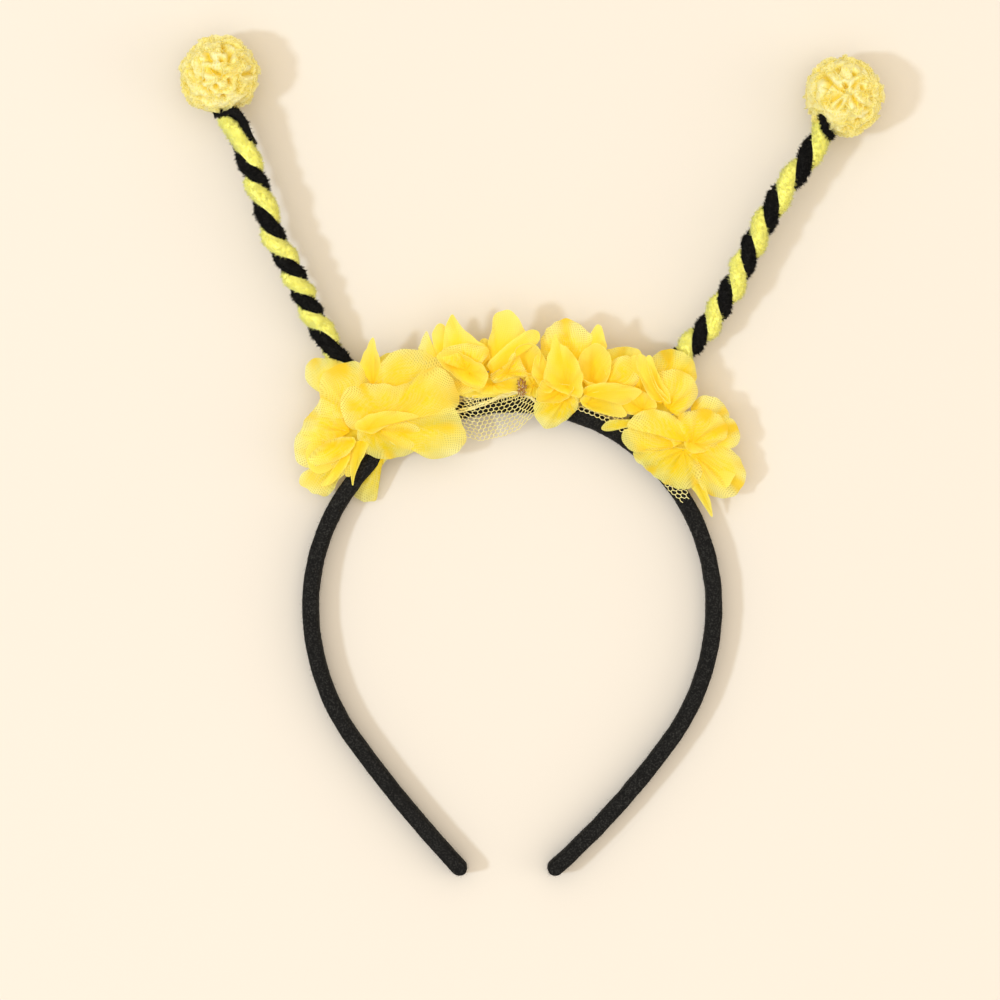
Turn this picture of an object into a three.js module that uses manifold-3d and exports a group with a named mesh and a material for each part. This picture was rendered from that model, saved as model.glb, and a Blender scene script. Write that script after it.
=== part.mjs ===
// Bee antenna headband: a black cloth-wound band with five chiffon flowers, two twisted antennae and two pompoms.
// It lies flat. +Z is up, +Y runs from the band towards the pompoms, and the origin is under the crown's middle.
import * as THREE from 'three';
import { mergeVertices } from 'three/addons/utils/BufferGeometryUtils.js';
import Module from 'manifold-3d';

const wasm = await Module();
wasm.setup();

// Driving sizes in millimetres, angles in degrees
const CLEARANCE = 0.3; // gap between separate pieces
const BAND_THICKNESS = 5;
const BAND_HEIGHT = 10;
const BAND_ROUNDING = 1.5;
const BAND_STEP = 8; // length of a facet along the band
const CROWN_RADIUS = 60; // to the band's middle line
const SHOULDER_RADIUS = 68;
const SHOULDER_TURN = 36;
const LEFT_LEG_LENGTH = 49;
const LEFT_LEG_TURN = 7;
const RIGHT_LEG_LENGTH = 51;
const RIGHT_LEG_TURN = 12;

const STRAND_DIAMETER = 2.85; // one chenille stem with its pile
const TWIST_PITCH = 14.4;
const STRAND_SIDES = 6;
const STEPS_PER_TURN = 5;
const END_MARGIN = 1.2; // the strands stop this short of their route's ends

const POMPOM_DIAMETER = 24;
const FOLD_COUNT = 12; // folds round a pompom
const FOLD_DEPTH = 2.6;
const POMPOM_RINGS = 11;

const NET_WALL = 1;
const CHIFFON_WALL = 1;
const PETAL_LENGTH = 24;
const PETAL_WIDTH = 18;
const PETAL_WAIST = 0.45; // width at the root, as a share of the petal's width
const BLOOM_HEIGHT = 12; // unit of the petals' rise over their root
const HEART_DIAMETER = 9;
const HEART_HEIGHT = 3;
const PETAL_CELLS = 4;
const NARROW_PETAL = 0.45; // petals of a smaller width share have half the cells across

const MENDING = 0.15; // booleans' ripples flatter than this are smoothed away
const SHORTEST_EDGE = 0.2;

const degrees = THREE.MathUtils.degToRad;

// Rows of a table become objects with its columns' names
function rows(columns, table) {
  return table.map((row) => Object.fromEntries(columns.map((name, i) => [name, row[i]])));
}

// Antenna routes, chosen by hand, from the pompom to the band. x and y are shares of the crown radius
// from the crown's centre. The lift is 0 at the band's middle height and 1 at the pompoms'.
const ROUTE = ['x', 'y', 'lift'];
const LEFT_ROUTE = rows(ROUTE, [
  [-1.413, 2.458, 1.00], [-1.367, 2.353, 1.04], [-1.287, 2.170, 1.11], [-1.217, 1.987, 1.14],
  [-1.153, 1.818, 1.11], [-1.072, 1.660, 1.03], [-0.992, 1.488, 0.86], [-0.900, 1.307, 0.60],
  [-0.810, 1.150, 0.29], [-0.713, 0.977, 0.06], [-0.622, 0.826, 0.00],
]);
const RIGHT_ROUTE = rows(ROUTE, [
  [1.560, 2.393, 1.00], [1.502, 2.288, 1.04], [1.427, 2.160, 1.11], [1.353, 2.070, 1.14],
  [1.287, 1.947, 1.11], [1.205, 1.798, 1.06], [1.115, 1.607, 0.91], [1.060, 1.515, 0.80],
  [1.002, 1.413, 0.66], [0.933, 1.335, 0.51], [0.853, 1.255, 0.34], [0.750, 1.100, 0.11],
  [0.590, 0.860, 0.00],
]);
// Where the black strand lies on top, counted in pitches from the pompom
const LEFT_TOPS = [0.26, 1.24, 2.35, 3.37, 4.23, 5.19, 6.2, 7.2];
const RIGHT_TOPS = [-0.1, 0.95, 2.14, 3.13, 4.17, 5.1, 6.1, 7.1];
// Pompom middles, as shares of the crown radius from the crown's centre
const POMPOMS = rows(['name', 'x', 'y', 'swirl', 'sway'], [
  ['pompom_left', -1.445, 2.625, 75, 10],
  ['pompom_right', 1.645, 2.520, 8, 14],
]);

// The net lies along the crown: angle round the crown, then its two edges as shares of the crown radius
const NET_SECTIONS = rows(['angle', 'inner', 'outer'], [
  [133, 0.99, 1.04], [126, 0.97, 1.06], [114, 0.96, 1.07], [107, 0.88, 1.07], [101, 0.83, 1.06],
  [93, 0.84, 1.06], [88, 0.87, 1.06], [84, 0.94, 1.06], [79, 1.00, 1.07], [73, 1.02, 1.08],
  [63, 1.02, 1.08], [54, 1.01, 1.08], [47, 0.99, 1.07], [41, 0.965, 1.05], [36, 0.96, 1.04],
  [32, 0.98, 1.03],
]);

// Each flower's heart: angle round the crown, and reach as a share of the crown radius.
// The petals are stacked in their heart from the first row up. A petal heads away from its heart in
// plan. Its length and start are shares of the petal length, its width and shift of the petal width.
// Its tip's height over its root and its arch are shares of the bloom height, its cup is the rise of
// its sides as a share of half its width, its point narrows the tip, and it turns by its bend in plan.
const PETAL = ['heading', 'length', 'width', 'tip', 'arch', 'cup', 'point', 'start', 'shift',
  'bend'];
const FLOWERS = [
  { name: 'flower_left', angle: 129, reach: 1.10, petals: rows(PETAL, [
    [135, 1.14, 0.88, -0.45, 0.30, -0.12, 0.0, 0.00, 0.00, 0],
    [300, 0.94, 0.50, -0.85, 0.24, -0.05, 0.0, 0.00, 0.00, -70],
    [296, 0.95, 0.48, -0.85, 0.26, -0.05, 0.0, 0.00, 0.00, -62],
    [89, 1.16, 0.28, 0.30, 0.30, 0.30, 0.9, 0.00, 0.00, 0],
    [64, 1.15, 1.05, -0.10, 0.45, -0.12, 0.0, 0.00, 0.00, 0],
    [173, 0.88, 0.60, -0.30, 0.30, -0.10, 0.0, 0.00, 0.00, 0],
    [222, 1.07, 0.66, -0.70, 0.25, -0.05, 0.0, 0.00, 0.00, 0],
    [194, 0.99, 0.60, -0.50, 0.35, -0.10, 0.0, 0.00, 0.00, 0],
    [197, 0.78, 0.30, 0.30, 0.35, 0.60, 0.0, 0.00, 0.00, 0],
    [250, 0.70, 0.25, 0.12, 0.15, 0.50, 0.9, 0.00, 0.00, 0],
    [2, 1.17, 1.22, 0.05, 0.55, -0.15, 0.0, 0.00, 0.10, 0],
    [300, 0.34, 0.90, 0.08, 0.10, -0.10, 0.0, 0.00, 0.00, 0],
    [20, 1.18, 0.85, 0.30, 0.40, -0.15, 0.0, -0.20, 0.35, 0],
  ]) },
  { name: 'flower_middle_left', angle: 99, reach: 1.10, petals: rows(PETAL, [
    [158, 0.92, 0.70, 0.00, 0.35, -0.10, 0.0, 0.00, 0.00, 0],
    [133, 0.93, 0.30, 0.10, 0.30, 0.40, 0.8, 0.00, 0.00, 0],
    [121, 0.89, 0.38, -0.10, 0.20, 0.10, 0.1, 0.00, 0.00, 0],
    [108, 0.92, 0.82, 0.35, 0.40, -0.20, 0.5, 0.00, 0.00, 0],
    [86, 0.90, 0.58, 0.15, 0.40, -0.20, 0.0, 0.00, -0.45, 0],
    [42, 1.00, 0.46, 0.25, 0.35, 0.35, 0.1, 0.00, 0.00, 0],
    [29, 0.88, 0.50, 0.30, 0.35, 0.60, 0.0, 0.00, 0.00, 0],
    [14, 0.78, 0.56, 0.45, 0.30, -0.10, 0.0, 0.00, 0.12, 0],
    [355, 0.60, 0.40, 0.20, 0.15, -0.10, 0.0, 0.00, 0.00, 0],
    [102, 0.52, 0.66, 0.75, 0.55, -0.30, 0.0, 0.00, 0.00, 0],
    [146, 0.62, 0.55, 0.55, 0.45, 0.60, 0.0, 0.00, 0.00, 0],
    [185, 0.46, 0.60, 0.20, 0.20, -0.10, 0.0, 0.00, 0.00, 0],
  ]) },
  { name: 'flower_middle_right', angle: 74, reach: 1.10, petals: rows(PETAL, [
    [96, 0.91, 0.95, 0.10, 0.45, -0.15, 0.1, 0.00, 0.00, 0],
    [71, 0.87, 0.36, -0.05, 0.30, 0.10, 0.1, 0.00, 0.00, 0],
    [152, 0.72, 0.74, 0.15, 0.30, -0.10, 0.0, 0.00, 0.00, 0],
    [236, 0.54, 0.74, 0.05, 0.20, -0.10, 0.0, 0.00, -0.05, 0],
    [37, 0.88, 0.56, -0.10, 0.20, 0.10, 0.0, 0.00, 0.00, 0],
    [24, 0.84, 0.66, 0.10, 0.30, 0.10, 0.0, 0.00, 0.00, 0],
    [58, 0.68, 0.54, 0.65, 0.45, -0.40, 0.0, 0.00, 0.00, 0],
    [108, 0.70, 0.58, 0.70, 0.55, -0.30, 0.5, 0.00, 0.00, 0],
    [180, 0.46, 0.40, 0.60, 0.40, -0.40, 0.0, 0.00, 0.00, 0],
    [3, 0.82, 0.32, 0.40, 0.40, -0.40, 0.1, 0.00, 0.00, 0],
    [345, 0.64, 0.40, 0.20, 0.35, -0.30, 0.1, 0.00, 0.00, 0],
  ]) },
  { name: 'flower_right', angle: 55, reach: 1.12, petals: rows(PETAL, [
    [60, 0.99, 0.88, -0.20, 0.35, -0.10, 0.0, 0.00, 0.00, 0],
    [30, 0.80, 0.82, 0.05, 0.40, -0.12, 0.0, 0.00, 0.00, 0],
    [345, 0.80, 0.70, -0.05, 0.30, -0.10, 0.0, 0.00, 0.00, 0],
    [100, 0.82, 0.60, 0.00, 0.30, 0.10, 0.0, 0.00, 0.00, 0],
    [87, 0.78, 0.26, 0.65, 0.45, 0.60, 0.3, 0.00, 0.00, 0],
    [144, 0.54, 0.60, 0.45, 0.45, -0.20, 0.0, 0.00, 0.00, 0],
    [191, 0.50, 0.22, 0.08, 0.10, -0.20, 0.0, 0.00, 0.00, 0],
  ]) },
  { name: 'flower_far_right', angle: 39.5, reach: 1.13, petals: rows(PETAL, [
    [95, 0.66, 0.74, -0.10, 0.25, -0.10, 0.0, 0.00, 0.00, 0],
    [62, 0.90, 0.64, -0.40, 0.25, -0.10, 0.0, 0.00, 0.00, 0],
    [48, 0.70, 0.80, 0.10, 0.35, -0.12, 0.0, 0.00, 0.00, 0],
    [27, 0.72, 0.56, -0.30, 0.25, -0.05, 0.0, 0.00, 0.00, 0],
    [328, 0.80, 0.86, -0.45, 0.30, -0.10, 0.0, 0.00, 0.00, 0],
    [293, 0.75, 0.25, -0.60, 0.15, 0.20, 1.0, 0.00, 0.00, 0],
    [198, 0.85, 0.68, 0.12, 0.20, -0.08, 0.0, -0.12, 0.00, 0],
    [262, 0.42, 0.80, 0.10, 0.10, -0.08, 0.0, 0.00, 0.00, 0],
    [149, 0.88, 0.72, 0.15, 0.40, -0.10, 0.1, 0.00, 0.00, 0],
    [163, 0.88, 0.38, 0.30, 0.40, 0.50, 0.1, 0.00, 0.00, 0],
  ]) },
];

const black = new THREE.MeshStandardMaterial({ color: 0x262524, roughness: 0.95, metalness: 0 });
const lemon = new THREE.MeshStandardMaterial({ color: 0xe4e25c, roughness: 0.95, metalness: 0 });
const lace = new THREE.MeshStandardMaterial({ color: 0xfde276, roughness: 0.85, metalness: 0 });
const chiffon = new THREE.MeshStandardMaterial({ color: 0xfee146, roughness: 0.75, metalness: 0 });
const net = new THREE.MeshStandardMaterial({ color: 0xf3e8a4, roughness: 0.8, metalness: 0 });

// Booleans: three.js geometry to a solid and back
function toSolid(geometry) {
  const bare = geometry.clone();
  bare.deleteAttribute('normal');
  bare.deleteAttribute('uv');
  const merged = mergeVertices(bare, 1e-4);
  return new wasm.Manifold(new wasm.Mesh({
    numProp: 3,
    vertProperties: new Float32Array(merged.attributes.position.array),
    triVerts: new Uint32Array(merged.index.array),
  }));
}

function toGeometry(solid) {
  const mesh = solid.getMesh();
  const geometry = new THREE.BufferGeometry();
  geometry.setAttribute('position', new THREE.BufferAttribute(mesh.vertProperties, 3));
  geometry.setIndex(new THREE.BufferAttribute(mesh.triVerts, 1));
  geometry.computeVertexNormals();
  return geometry;
}

// Two corners at one place would pinch the surface, so the second one is drawn towards its neighbours
function partTwins(points, neighbours, movedTo) {
  const taken = new Set();
  points.forEach((point, i) => {
    if (movedTo[i] !== i) return;
    const place = point.toArray().map((value) => value.toFixed(3)).join();
    if (taken.has(place)) {
      const middle = new THREE.Vector3();
      neighbours[i].forEach((v) => middle.addScaledVector(points[v], 1 / neighbours[i].size));
      point.lerp(middle, 0.1);
    }
    taken.add(place);
  });
}

// Booleans leave edges too short to be of use. Such an edge is closed up where its two ends share
// just two neighbours, so the surface stays closed.
function withoutShortEdges(solid) {
  const mesh = solid.getMesh();
  const points = Array.from({ length: mesh.vertProperties.length / 3 }, (_, i) => (
    new THREE.Vector3().fromArray(mesh.vertProperties, 3 * i)));
  const faces = Array.from({ length: mesh.triVerts.length / 3 }, (_, i) => (
    [...mesh.triVerts.slice(3 * i, 3 * i + 3)]));
  const edges = faces.flatMap(([a, b, c]) => [[a, b], [b, c], [c, a]]);
  const neighbours = points.map(() => new Set());
  edges.forEach(([a, b]) => neighbours[a].add(b));
  const movedTo = points.map((_, i) => i);
  const find = (v) => (movedTo[v] === v ? v : find(movedTo[v]));
  edges.forEach((edge) => {
    const [kept, gone] = edge.map(find);
    if (kept === gone || points[kept].distanceTo(points[gone]) > SHORTEST_EDGE) return;
    if ([...neighbours[kept]].filter((v) => neighbours[gone].has(v)).length !== 2) return;
    movedTo[gone] = kept;
    neighbours[gone].forEach((v) => {
      neighbours[v].delete(gone);
      if (v === kept) return;
      neighbours[v].add(kept);
      neighbours[kept].add(v);
    });
  });
  partTwins(points, neighbours, movedTo);
  const left = faces.map((face) => face.map(find)).filter(([a, b, c]) => a !== b && b !== c && c !== a);
  return new wasm.Manifold(new wasm.Mesh({
    numProp: 3,
    vertProperties: new Float32Array(points.flatMap((point) => point.toArray())),
    triVerts: new Uint32Array(left.flat()),
  }));
}

function largestBody(solid) {
  return solid.decompose().sort((a, b) => b.volume() - a.volume())[0];
}

function tidyBody(solid) {
  return largestBody(withoutShortEdges(largestBody(solid).simplify(MENDING)));
}

function mapped(geometry, place) {
  const position = geometry.attributes.position;
  const point = new THREE.Vector3();
  for (let i = 0; i < position.count; i += 1) {
    point.fromBufferAttribute(position, i);
    const moved = place(point.x, point.y, point.z);
    position.setXYZ(i, moved.x, moved.y, moved.z);
  }
  return geometry;
}

// A wall of even thickness: a thin box mapped on to a surface, side runs from -1 to 1 through the wall
function wallOn(surface, wall, cellsAlong, cellsAcross) {
  const step = 0.002;
  const box = new THREE.BoxGeometry(2, 2, 2, cellsAlong, cellsAcross, 1);
  return mapped(box, (s, t, side) => {
    const middle = surface(s, t);
    const along = surface(s + step, t).sub(surface(s - step, t));
    const across = surface(s, t + step).sub(surface(s, t - step));
    const normal = along.cross(across).normalize();
    return middle.addScaledVector(normal, side * wall / 2);
  });
}

// Band: its plan is the crown arc, then a shoulder arc and a leg arc on each side, all tangent
function bandArcs(side, legLength, legTurn) {
  const legRadius = legLength / degrees(legTurn);
  return [
    { radius: SHOULDER_RADIUS, turn: degrees(SHOULDER_TURN), side },
    { radius: legRadius, turn: degrees(legTurn), side },
  ];
}

function armPoints(arcs, side, offset) {
  const points = [];
  let centreX = side * (CROWN_RADIUS - arcs[0].radius);
  let centreY = 0;
  let angle = 0;
  arcs.forEach((arc, k) => {
    if (k > 0) {
      const shift = arcs[k - 1].radius - arc.radius;
      centreX += side * shift * Math.cos(angle);
      centreY -= shift * Math.sin(angle);
    }
    const steps = Math.max(2, Math.ceil(arc.radius * arc.turn / BAND_STEP));
    for (let i = 1; i <= steps; i += 1) {
      const at = angle + arc.turn * i / steps;
      const reach = arc.radius + offset;
      points.push(new THREE.Vector2(centreX + side * reach * Math.cos(at), centreY - reach * Math.sin(at)));
    }
    angle += arc.turn;
  });
  return { points, angle };
}

function crownPoints(offset) {
  const steps = Math.ceil(Math.PI * CROWN_RADIUS / BAND_STEP);
  const reach = CROWN_RADIUS + offset;
  return Array.from({ length: steps + 1 }, (_, i) => {
    const at = Math.PI * i / steps;
    return new THREE.Vector2(reach * Math.cos(at), reach * Math.sin(at));
  });
}

function tipPoints(outer, inner) {
  const middle = outer.clone().add(inner).multiplyScalar(0.5);
  const arm = outer.clone().sub(middle);
  const turn = Math.sign(outer.x) > 0 ? -1 : 1;
  return [1, 2, 3, 4].map((i) => arm.clone().rotateAround(new THREE.Vector2(), turn * Math.PI * i / 5).add(middle));
}

function bandGeometry(clearance) {
  const half = BAND_THICKNESS / 2 + clearance;
  const right = bandArcs(1, RIGHT_LEG_LENGTH, RIGHT_LEG_TURN);
  const left = bandArcs(-1, LEFT_LEG_LENGTH, LEFT_LEG_TURN);
  const rightOuter = armPoints(right, 1, half).points;
  const rightInner = armPoints(right, 1, -half).points;
  const leftOuter = armPoints(left, -1, half).points;
  const leftInner = armPoints(left, -1, -half).points;
  const outline = new THREE.Shape([
    ...crownPoints(half), ...leftOuter,
    ...tipPoints(leftOuter.at(-1), leftInner.at(-1)),
    ...leftInner.reverse(), ...crownPoints(-half).reverse(), ...rightInner,
    ...tipPoints(rightOuter.at(-1), rightInner.at(-1)).reverse(),
    ...rightOuter.reverse(),
  ]);
  const height = BAND_HEIGHT + 2 * clearance;
  const geometry = new THREE.ExtrudeGeometry(outline, {
    depth: height - 2 * BAND_ROUNDING, bevelEnabled: true, bevelSegments: 1,
    bevelThickness: BAND_ROUNDING, bevelSize: BAND_ROUNDING, bevelOffset: -BAND_ROUNDING,
  });
  return geometry.translate(0, 0, BAND_ROUNDING - clearance);
}

// Antenna: two chenille strands twisted round one route
class StrandCurve extends THREE.Curve {
  constructor(route, tops, radius, phase) {
    super();
    this.route = route;
    this.tops = tops;
    this.radius = radius;
    this.phase = phase;
    this.turns = route.getLength() / TWIST_PITCH;
    this.margin = END_MARGIN / route.getLength();
  }

  // Turns made so far: a whole number where the black strand is on top
  turnsAt(share) {
    const pitches = share * this.turns;
    const last = this.tops.length - 2;
    const k = Math.min(last, Math.max(0, this.tops.findLastIndex((top) => top <= pitches)));
    return k + (pitches - this.tops[k]) / (this.tops[k + 1] - this.tops[k]);
  }

  getPoint(t, target = new THREE.Vector3()) {
    const share = this.margin + (1 - 2 * this.margin) * t;
    const centre = this.route.getPointAt(share);
    const tangent = this.route.getTangentAt(share);
    const side = new THREE.Vector3(0, 0, 1).cross(tangent).normalize();
    const up = tangent.clone().cross(side);
    const turn = this.phase - 2 * Math.PI * this.turnsAt(share);
    target.copy(centre).addScaledVector(up, this.radius * Math.cos(turn));
    return target.addScaledVector(side, -this.radius * Math.sin(turn));
  }
}

function routeCurve(route) {
  const foot = BAND_HEIGHT / 2;
  return new THREE.CatmullRomCurve3(route.map(({ x, y, lift }) => (
    new THREE.Vector3(CROWN_RADIUS * x, CROWN_RADIUS * y, foot + (POMPOM_DIAMETER / 2 - foot) * lift))));
}

function tubeAlong(curve, diameter, sides, steps) {
  const section = new THREE.Shape(Array.from({ length: sides }, (_, i) => {
    const at = 2 * Math.PI * i / sides;
    return new THREE.Vector2(diameter / 2 * Math.cos(at), diameter / 2 * Math.sin(at));
  }));
  return new THREE.ExtrudeGeometry(section, { steps, extrudePath: curve, bevelEnabled: false });
}

function strandGeometry(route, tops, phase) {
  const curve = new StrandCurve(route, tops, (STRAND_DIAMETER + CLEARANCE) / 2, phase);
  return tubeAlong(curve, STRAND_DIAMETER, STRAND_SIDES, Math.ceil(curve.turns * STEPS_PER_TURN));
}

// The room that a whole antenna needs in its neighbours
function antennaRoom(route) {
  const diameter = 2 * STRAND_DIAMETER + 3 * CLEARANCE;
  return toSolid(tubeAlong(route, diameter, 10, Math.ceil(route.getLength() / 5)));
}

// Pompom: a gathered ball whose folds run from pole to pole, swirl round it and sway as they go
function pompomGeometry(pompom, room) {
  const ball = mapped(new THREE.SphereGeometry(1, 2 * FOLD_COUNT, POMPOM_RINGS), (x, y, z) => {
    const latitude = Math.asin(THREE.MathUtils.clamp(y, -1, 1));
    const column = Math.round(Math.atan2(z, x) / Math.PI * FOLD_COUNT);
    const onRidge = Math.abs(column) % 2 === 0;
    const spread = Math.cos(latitude);
    const depth = onRidge ? 0 : FOLD_DEPTH * Math.min(1, 2 * spread);
    const reach = POMPOM_DIAMETER / 2 - depth;
    const share = latitude / (Math.PI / 2);
    const turn = degrees(pompom.swirl) * share + degrees(pompom.sway) * Math.sin(3 * Math.PI * share);
    const longitude = Math.PI * column / FOLD_COUNT + turn;
    return new THREE.Vector3(
      reach * spread * Math.cos(longitude), reach * spread * Math.sin(longitude), reach * y,
    );
  });
  ball.scale(1, 1, -1);
  ball.translate(CROWN_RADIUS * pompom.x, CROWN_RADIUS * pompom.y, POMPOM_DIAMETER / 2);
  return toGeometry(tidyBody(toSolid(ball).subtract(room)));
}

// Net strip: it lies along the top of the band, and droops past the band's inner side
function netSurface(s, t) {
  const place = (s + 1) / 2 * (NET_SECTIONS.length - 1);
  const k = Math.min(Math.max(Math.floor(place), 0), NET_SECTIONS.length - 2);
  const mix = place - k;
  const here = NET_SECTIONS[k];
  const next = NET_SECTIONS[k + 1];
  const angle = degrees(here.angle + (next.angle - here.angle) * mix);
  const inner = here.inner + (next.inner - here.inner) * mix;
  const outer = here.outer + (next.outer - here.outer) * mix;
  const reach = CROWN_RADIUS * (inner + (outer - inner) * (t + 1) / 2);
  const overhang = Math.max(0, CROWN_RADIUS - BAND_THICKNESS / 2 - reach);
  const height = BAND_HEIGHT + CLEARANCE + NET_WALL / 2 - 0.35 * overhang;
  return new THREE.Vector3(reach * Math.cos(angle), reach * Math.sin(angle), height);
}

// Flowers: the heart is a stitched disc on the net, the petals are walls fused to it
const SEAT = BAND_HEIGHT + 2 * CLEARANCE + NET_WALL;

function petalSurface(petal, heart, root, grow) {
  const heading = degrees(petal.heading);
  const bend = degrees(petal.bend || 0.01);
  const length = PETAL_LENGTH * petal.length;
  const halfWidth = PETAL_WIDTH * petal.width / 2;
  return (s, t) => {
    const x = s * Math.sqrt(1 - t * t / 2);
    const y = t * Math.sqrt(1 - s * s / 2);
    const share = (x + 1) / 2;
    const waist = PETAL_WAIST + (1 - PETAL_WAIST) * Math.sin(Math.min(share / 0.62, 1) * Math.PI / 2);
    const taper = 1 - 0.85 * petal.point * THREE.MathUtils.clamp((share - 0.25) / 0.75, 0, 1);
    const outwards = length * share + grow * x;
    const sideways = (halfWidth * waist * taper + grow) * y;
    const u = outwards / length;
    const v = sideways / halfWidth;
    const turn = bend * u;
    const across = PETAL_WIDTH * petal.shift + sideways;
    const ahead = PETAL_LENGTH * petal.start + length * Math.sin(turn) / bend - across * Math.sin(turn);
    const aside = length * (1 - Math.cos(turn)) / bend + across * Math.cos(turn);
    const rise = petal.tip * u + petal.arch * 4 * u * (1 - u);
    return new THREE.Vector3(
      heart.x + ahead * Math.cos(heading) - aside * Math.sin(heading),
      heart.y + ahead * Math.sin(heading) + aside * Math.cos(heading),
      root + BLOOM_HEIGHT * rise + petal.cup * halfWidth * v * v,
    );
  };
}

function flowerSolid(flower, extra) {
  const reach = flower.reach * CROWN_RADIUS;
  const angle = degrees(flower.angle);
  const heart = new THREE.Vector3(reach * Math.cos(angle), reach * Math.sin(angle), SEAT);
  const disc = new THREE.CylinderGeometry(HEART_DIAMETER / 2 + extra, HEART_DIAMETER / 2 + extra,
    HEART_HEIGHT + 2 * extra, 10);
  disc.rotateX(Math.PI / 2).translate(heart.x, heart.y, SEAT + HEART_HEIGHT / 2);
  let solid = toSolid(disc);
  flower.petals.forEach((petal, i) => {
    const root = SEAT + HEART_HEIGHT * (i + 1) / (flower.petals.length + 1);
    const surface = petalSurface(petal, heart, root, extra);
    const cellsAcross = petal.width < NARROW_PETAL ? PETAL_CELLS / 2 : PETAL_CELLS;
    solid = solid.add(toSolid(wallOn(surface, CHIFFON_WALL + 2 * extra, PETAL_CELLS, cellsAcross)));
  });
  return solid;
}

// The assembly stands so that the crown's middle is at the origin
const headband = new THREE.Group();
headband.position.set(0, -CROWN_RADIUS, 0);

function addPiece(name, geometry, material) {
  const mesh = new THREE.Mesh(geometry, material);
  mesh.name = name;
  headband.add(mesh);
}

const leftRoute = routeCurve(LEFT_ROUTE);
const rightRoute = routeCurve(RIGHT_ROUTE);
const rooms = antennaRoom(leftRoute).add(antennaRoom(rightRoute));
const bandRoom = toSolid(bandGeometry(CLEARANCE));

function fitStrand(geometry) {
  return toGeometry(tidyBody(toSolid(geometry).subtract(bandRoom)));
}

addPiece('band', bandGeometry(0), black);
addPiece('antenna_left_black', fitStrand(strandGeometry(leftRoute, LEFT_TOPS, 0)), black);
addPiece('antenna_left_yellow', fitStrand(strandGeometry(leftRoute, LEFT_TOPS, Math.PI)), lemon);
addPiece('antenna_right_black', fitStrand(strandGeometry(rightRoute, RIGHT_TOPS, 0)), black);
addPiece('antenna_right_yellow', fitStrand(strandGeometry(rightRoute, RIGHT_TOPS, Math.PI)), lemon);
POMPOMS.forEach((pompom) => addPiece(pompom.name, pompomGeometry(pompom, rooms), lace));
addPiece('net_strip', wallOn(netSurface, NET_WALL, 2 * (NET_SECTIONS.length - 1), 2), net);

const netRoom = toSolid(wallOn(netSurface, NET_WALL + 1.6 * CLEARANCE, 2 * (NET_SECTIONS.length - 1), 2));
let taken = bandRoom.add(rooms).add(netRoom);
FLOWERS.forEach((flower) => {
  const whole = flowerSolid(flower, 0);
  addPiece(flower.name, toGeometry(tidyBody(whole.subtract(taken))), chiffon);
  taken = taken.add(whole).add(flowerSolid(flower, CLEARANCE + SHORTEST_EDGE));
});

export default headband;
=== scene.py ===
# %% [markdown]
# # A bee headband, dressed piece by piece
# The real thing is a cloth-wound band that lies flat on a pale table, seen from straight above.
# Chiffon flowers are sewn along its crown, two twisted chenille stems stand out from it, and each
# stem ends in a gathered lace pompom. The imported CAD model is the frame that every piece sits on.

# %% Load the frame
import math
import bpy
import numpy as np
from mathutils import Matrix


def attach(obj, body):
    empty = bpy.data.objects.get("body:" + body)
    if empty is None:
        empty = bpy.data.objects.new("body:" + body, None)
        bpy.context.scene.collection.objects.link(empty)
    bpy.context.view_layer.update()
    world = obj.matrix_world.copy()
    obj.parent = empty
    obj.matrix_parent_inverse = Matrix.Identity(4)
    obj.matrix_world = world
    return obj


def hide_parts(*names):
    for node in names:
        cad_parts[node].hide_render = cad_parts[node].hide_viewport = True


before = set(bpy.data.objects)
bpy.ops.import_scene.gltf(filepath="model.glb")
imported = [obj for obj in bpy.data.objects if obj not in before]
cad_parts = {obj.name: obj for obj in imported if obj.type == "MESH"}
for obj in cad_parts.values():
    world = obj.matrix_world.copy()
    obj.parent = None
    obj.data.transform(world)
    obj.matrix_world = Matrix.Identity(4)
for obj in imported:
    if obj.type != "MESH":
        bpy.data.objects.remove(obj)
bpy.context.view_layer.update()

# %% [markdown]
# ## Sizes
# Everything below is thought of in millimetres and turned into metres only when a mesh is made.
# The photograph's frame is a thousand steps wide, so a place that is read from it is turned into
# millimetres by one length, the size of a step at the band. The CAD's own sizes are named again,
# because the frame holds its meshes but not its numbers.

# %% Sizes that the pieces share
MM = 0.001
CROWN_RADIUS = 60.0
SHOULDER_RADIUS, SHOULDER_TURN = 68.0, 36.0
LEFT_LEG, RIGHT_LEG = (49.0, 7.0), (51.0, 12.0)
BAND_THICKNESS, BAND_HEIGHT = 5.0, 10.0
PHOTO_STEPS, PHOTO_STEP = 1000, 0.29656
CROWN_AT = (512.3, 606.0)  # the crown's centre in the photograph's frame


def from_photo(across, down, height):
    """A place in the photograph's frame, and its height, as millimetres in the row frame."""
    return np.array([(across - CROWN_AT[0]) * PHOTO_STEP,
                     (CROWN_AT[1] - down) * PHOTO_STEP - CROWN_RADIUS, height])


print("the photograph's frame is", round(PHOTO_STEPS * PHOTO_STEP, 1), "mm wide")

# %% [markdown]
# ## Camera and light
# The photograph looks straight down through a long lens, so the camera hangs high over the band.
# Its shadows are pale and lean to the right and slightly up. A small window on the left gives
# them, a wide one far away on the right softens them, and a bright ceiling fills them in. A sun
# lamp or a picture of a room could do the same. Two area lamps under a sky that grows brighter
# overhead are chosen because each shadow then answers to one number.

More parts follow.
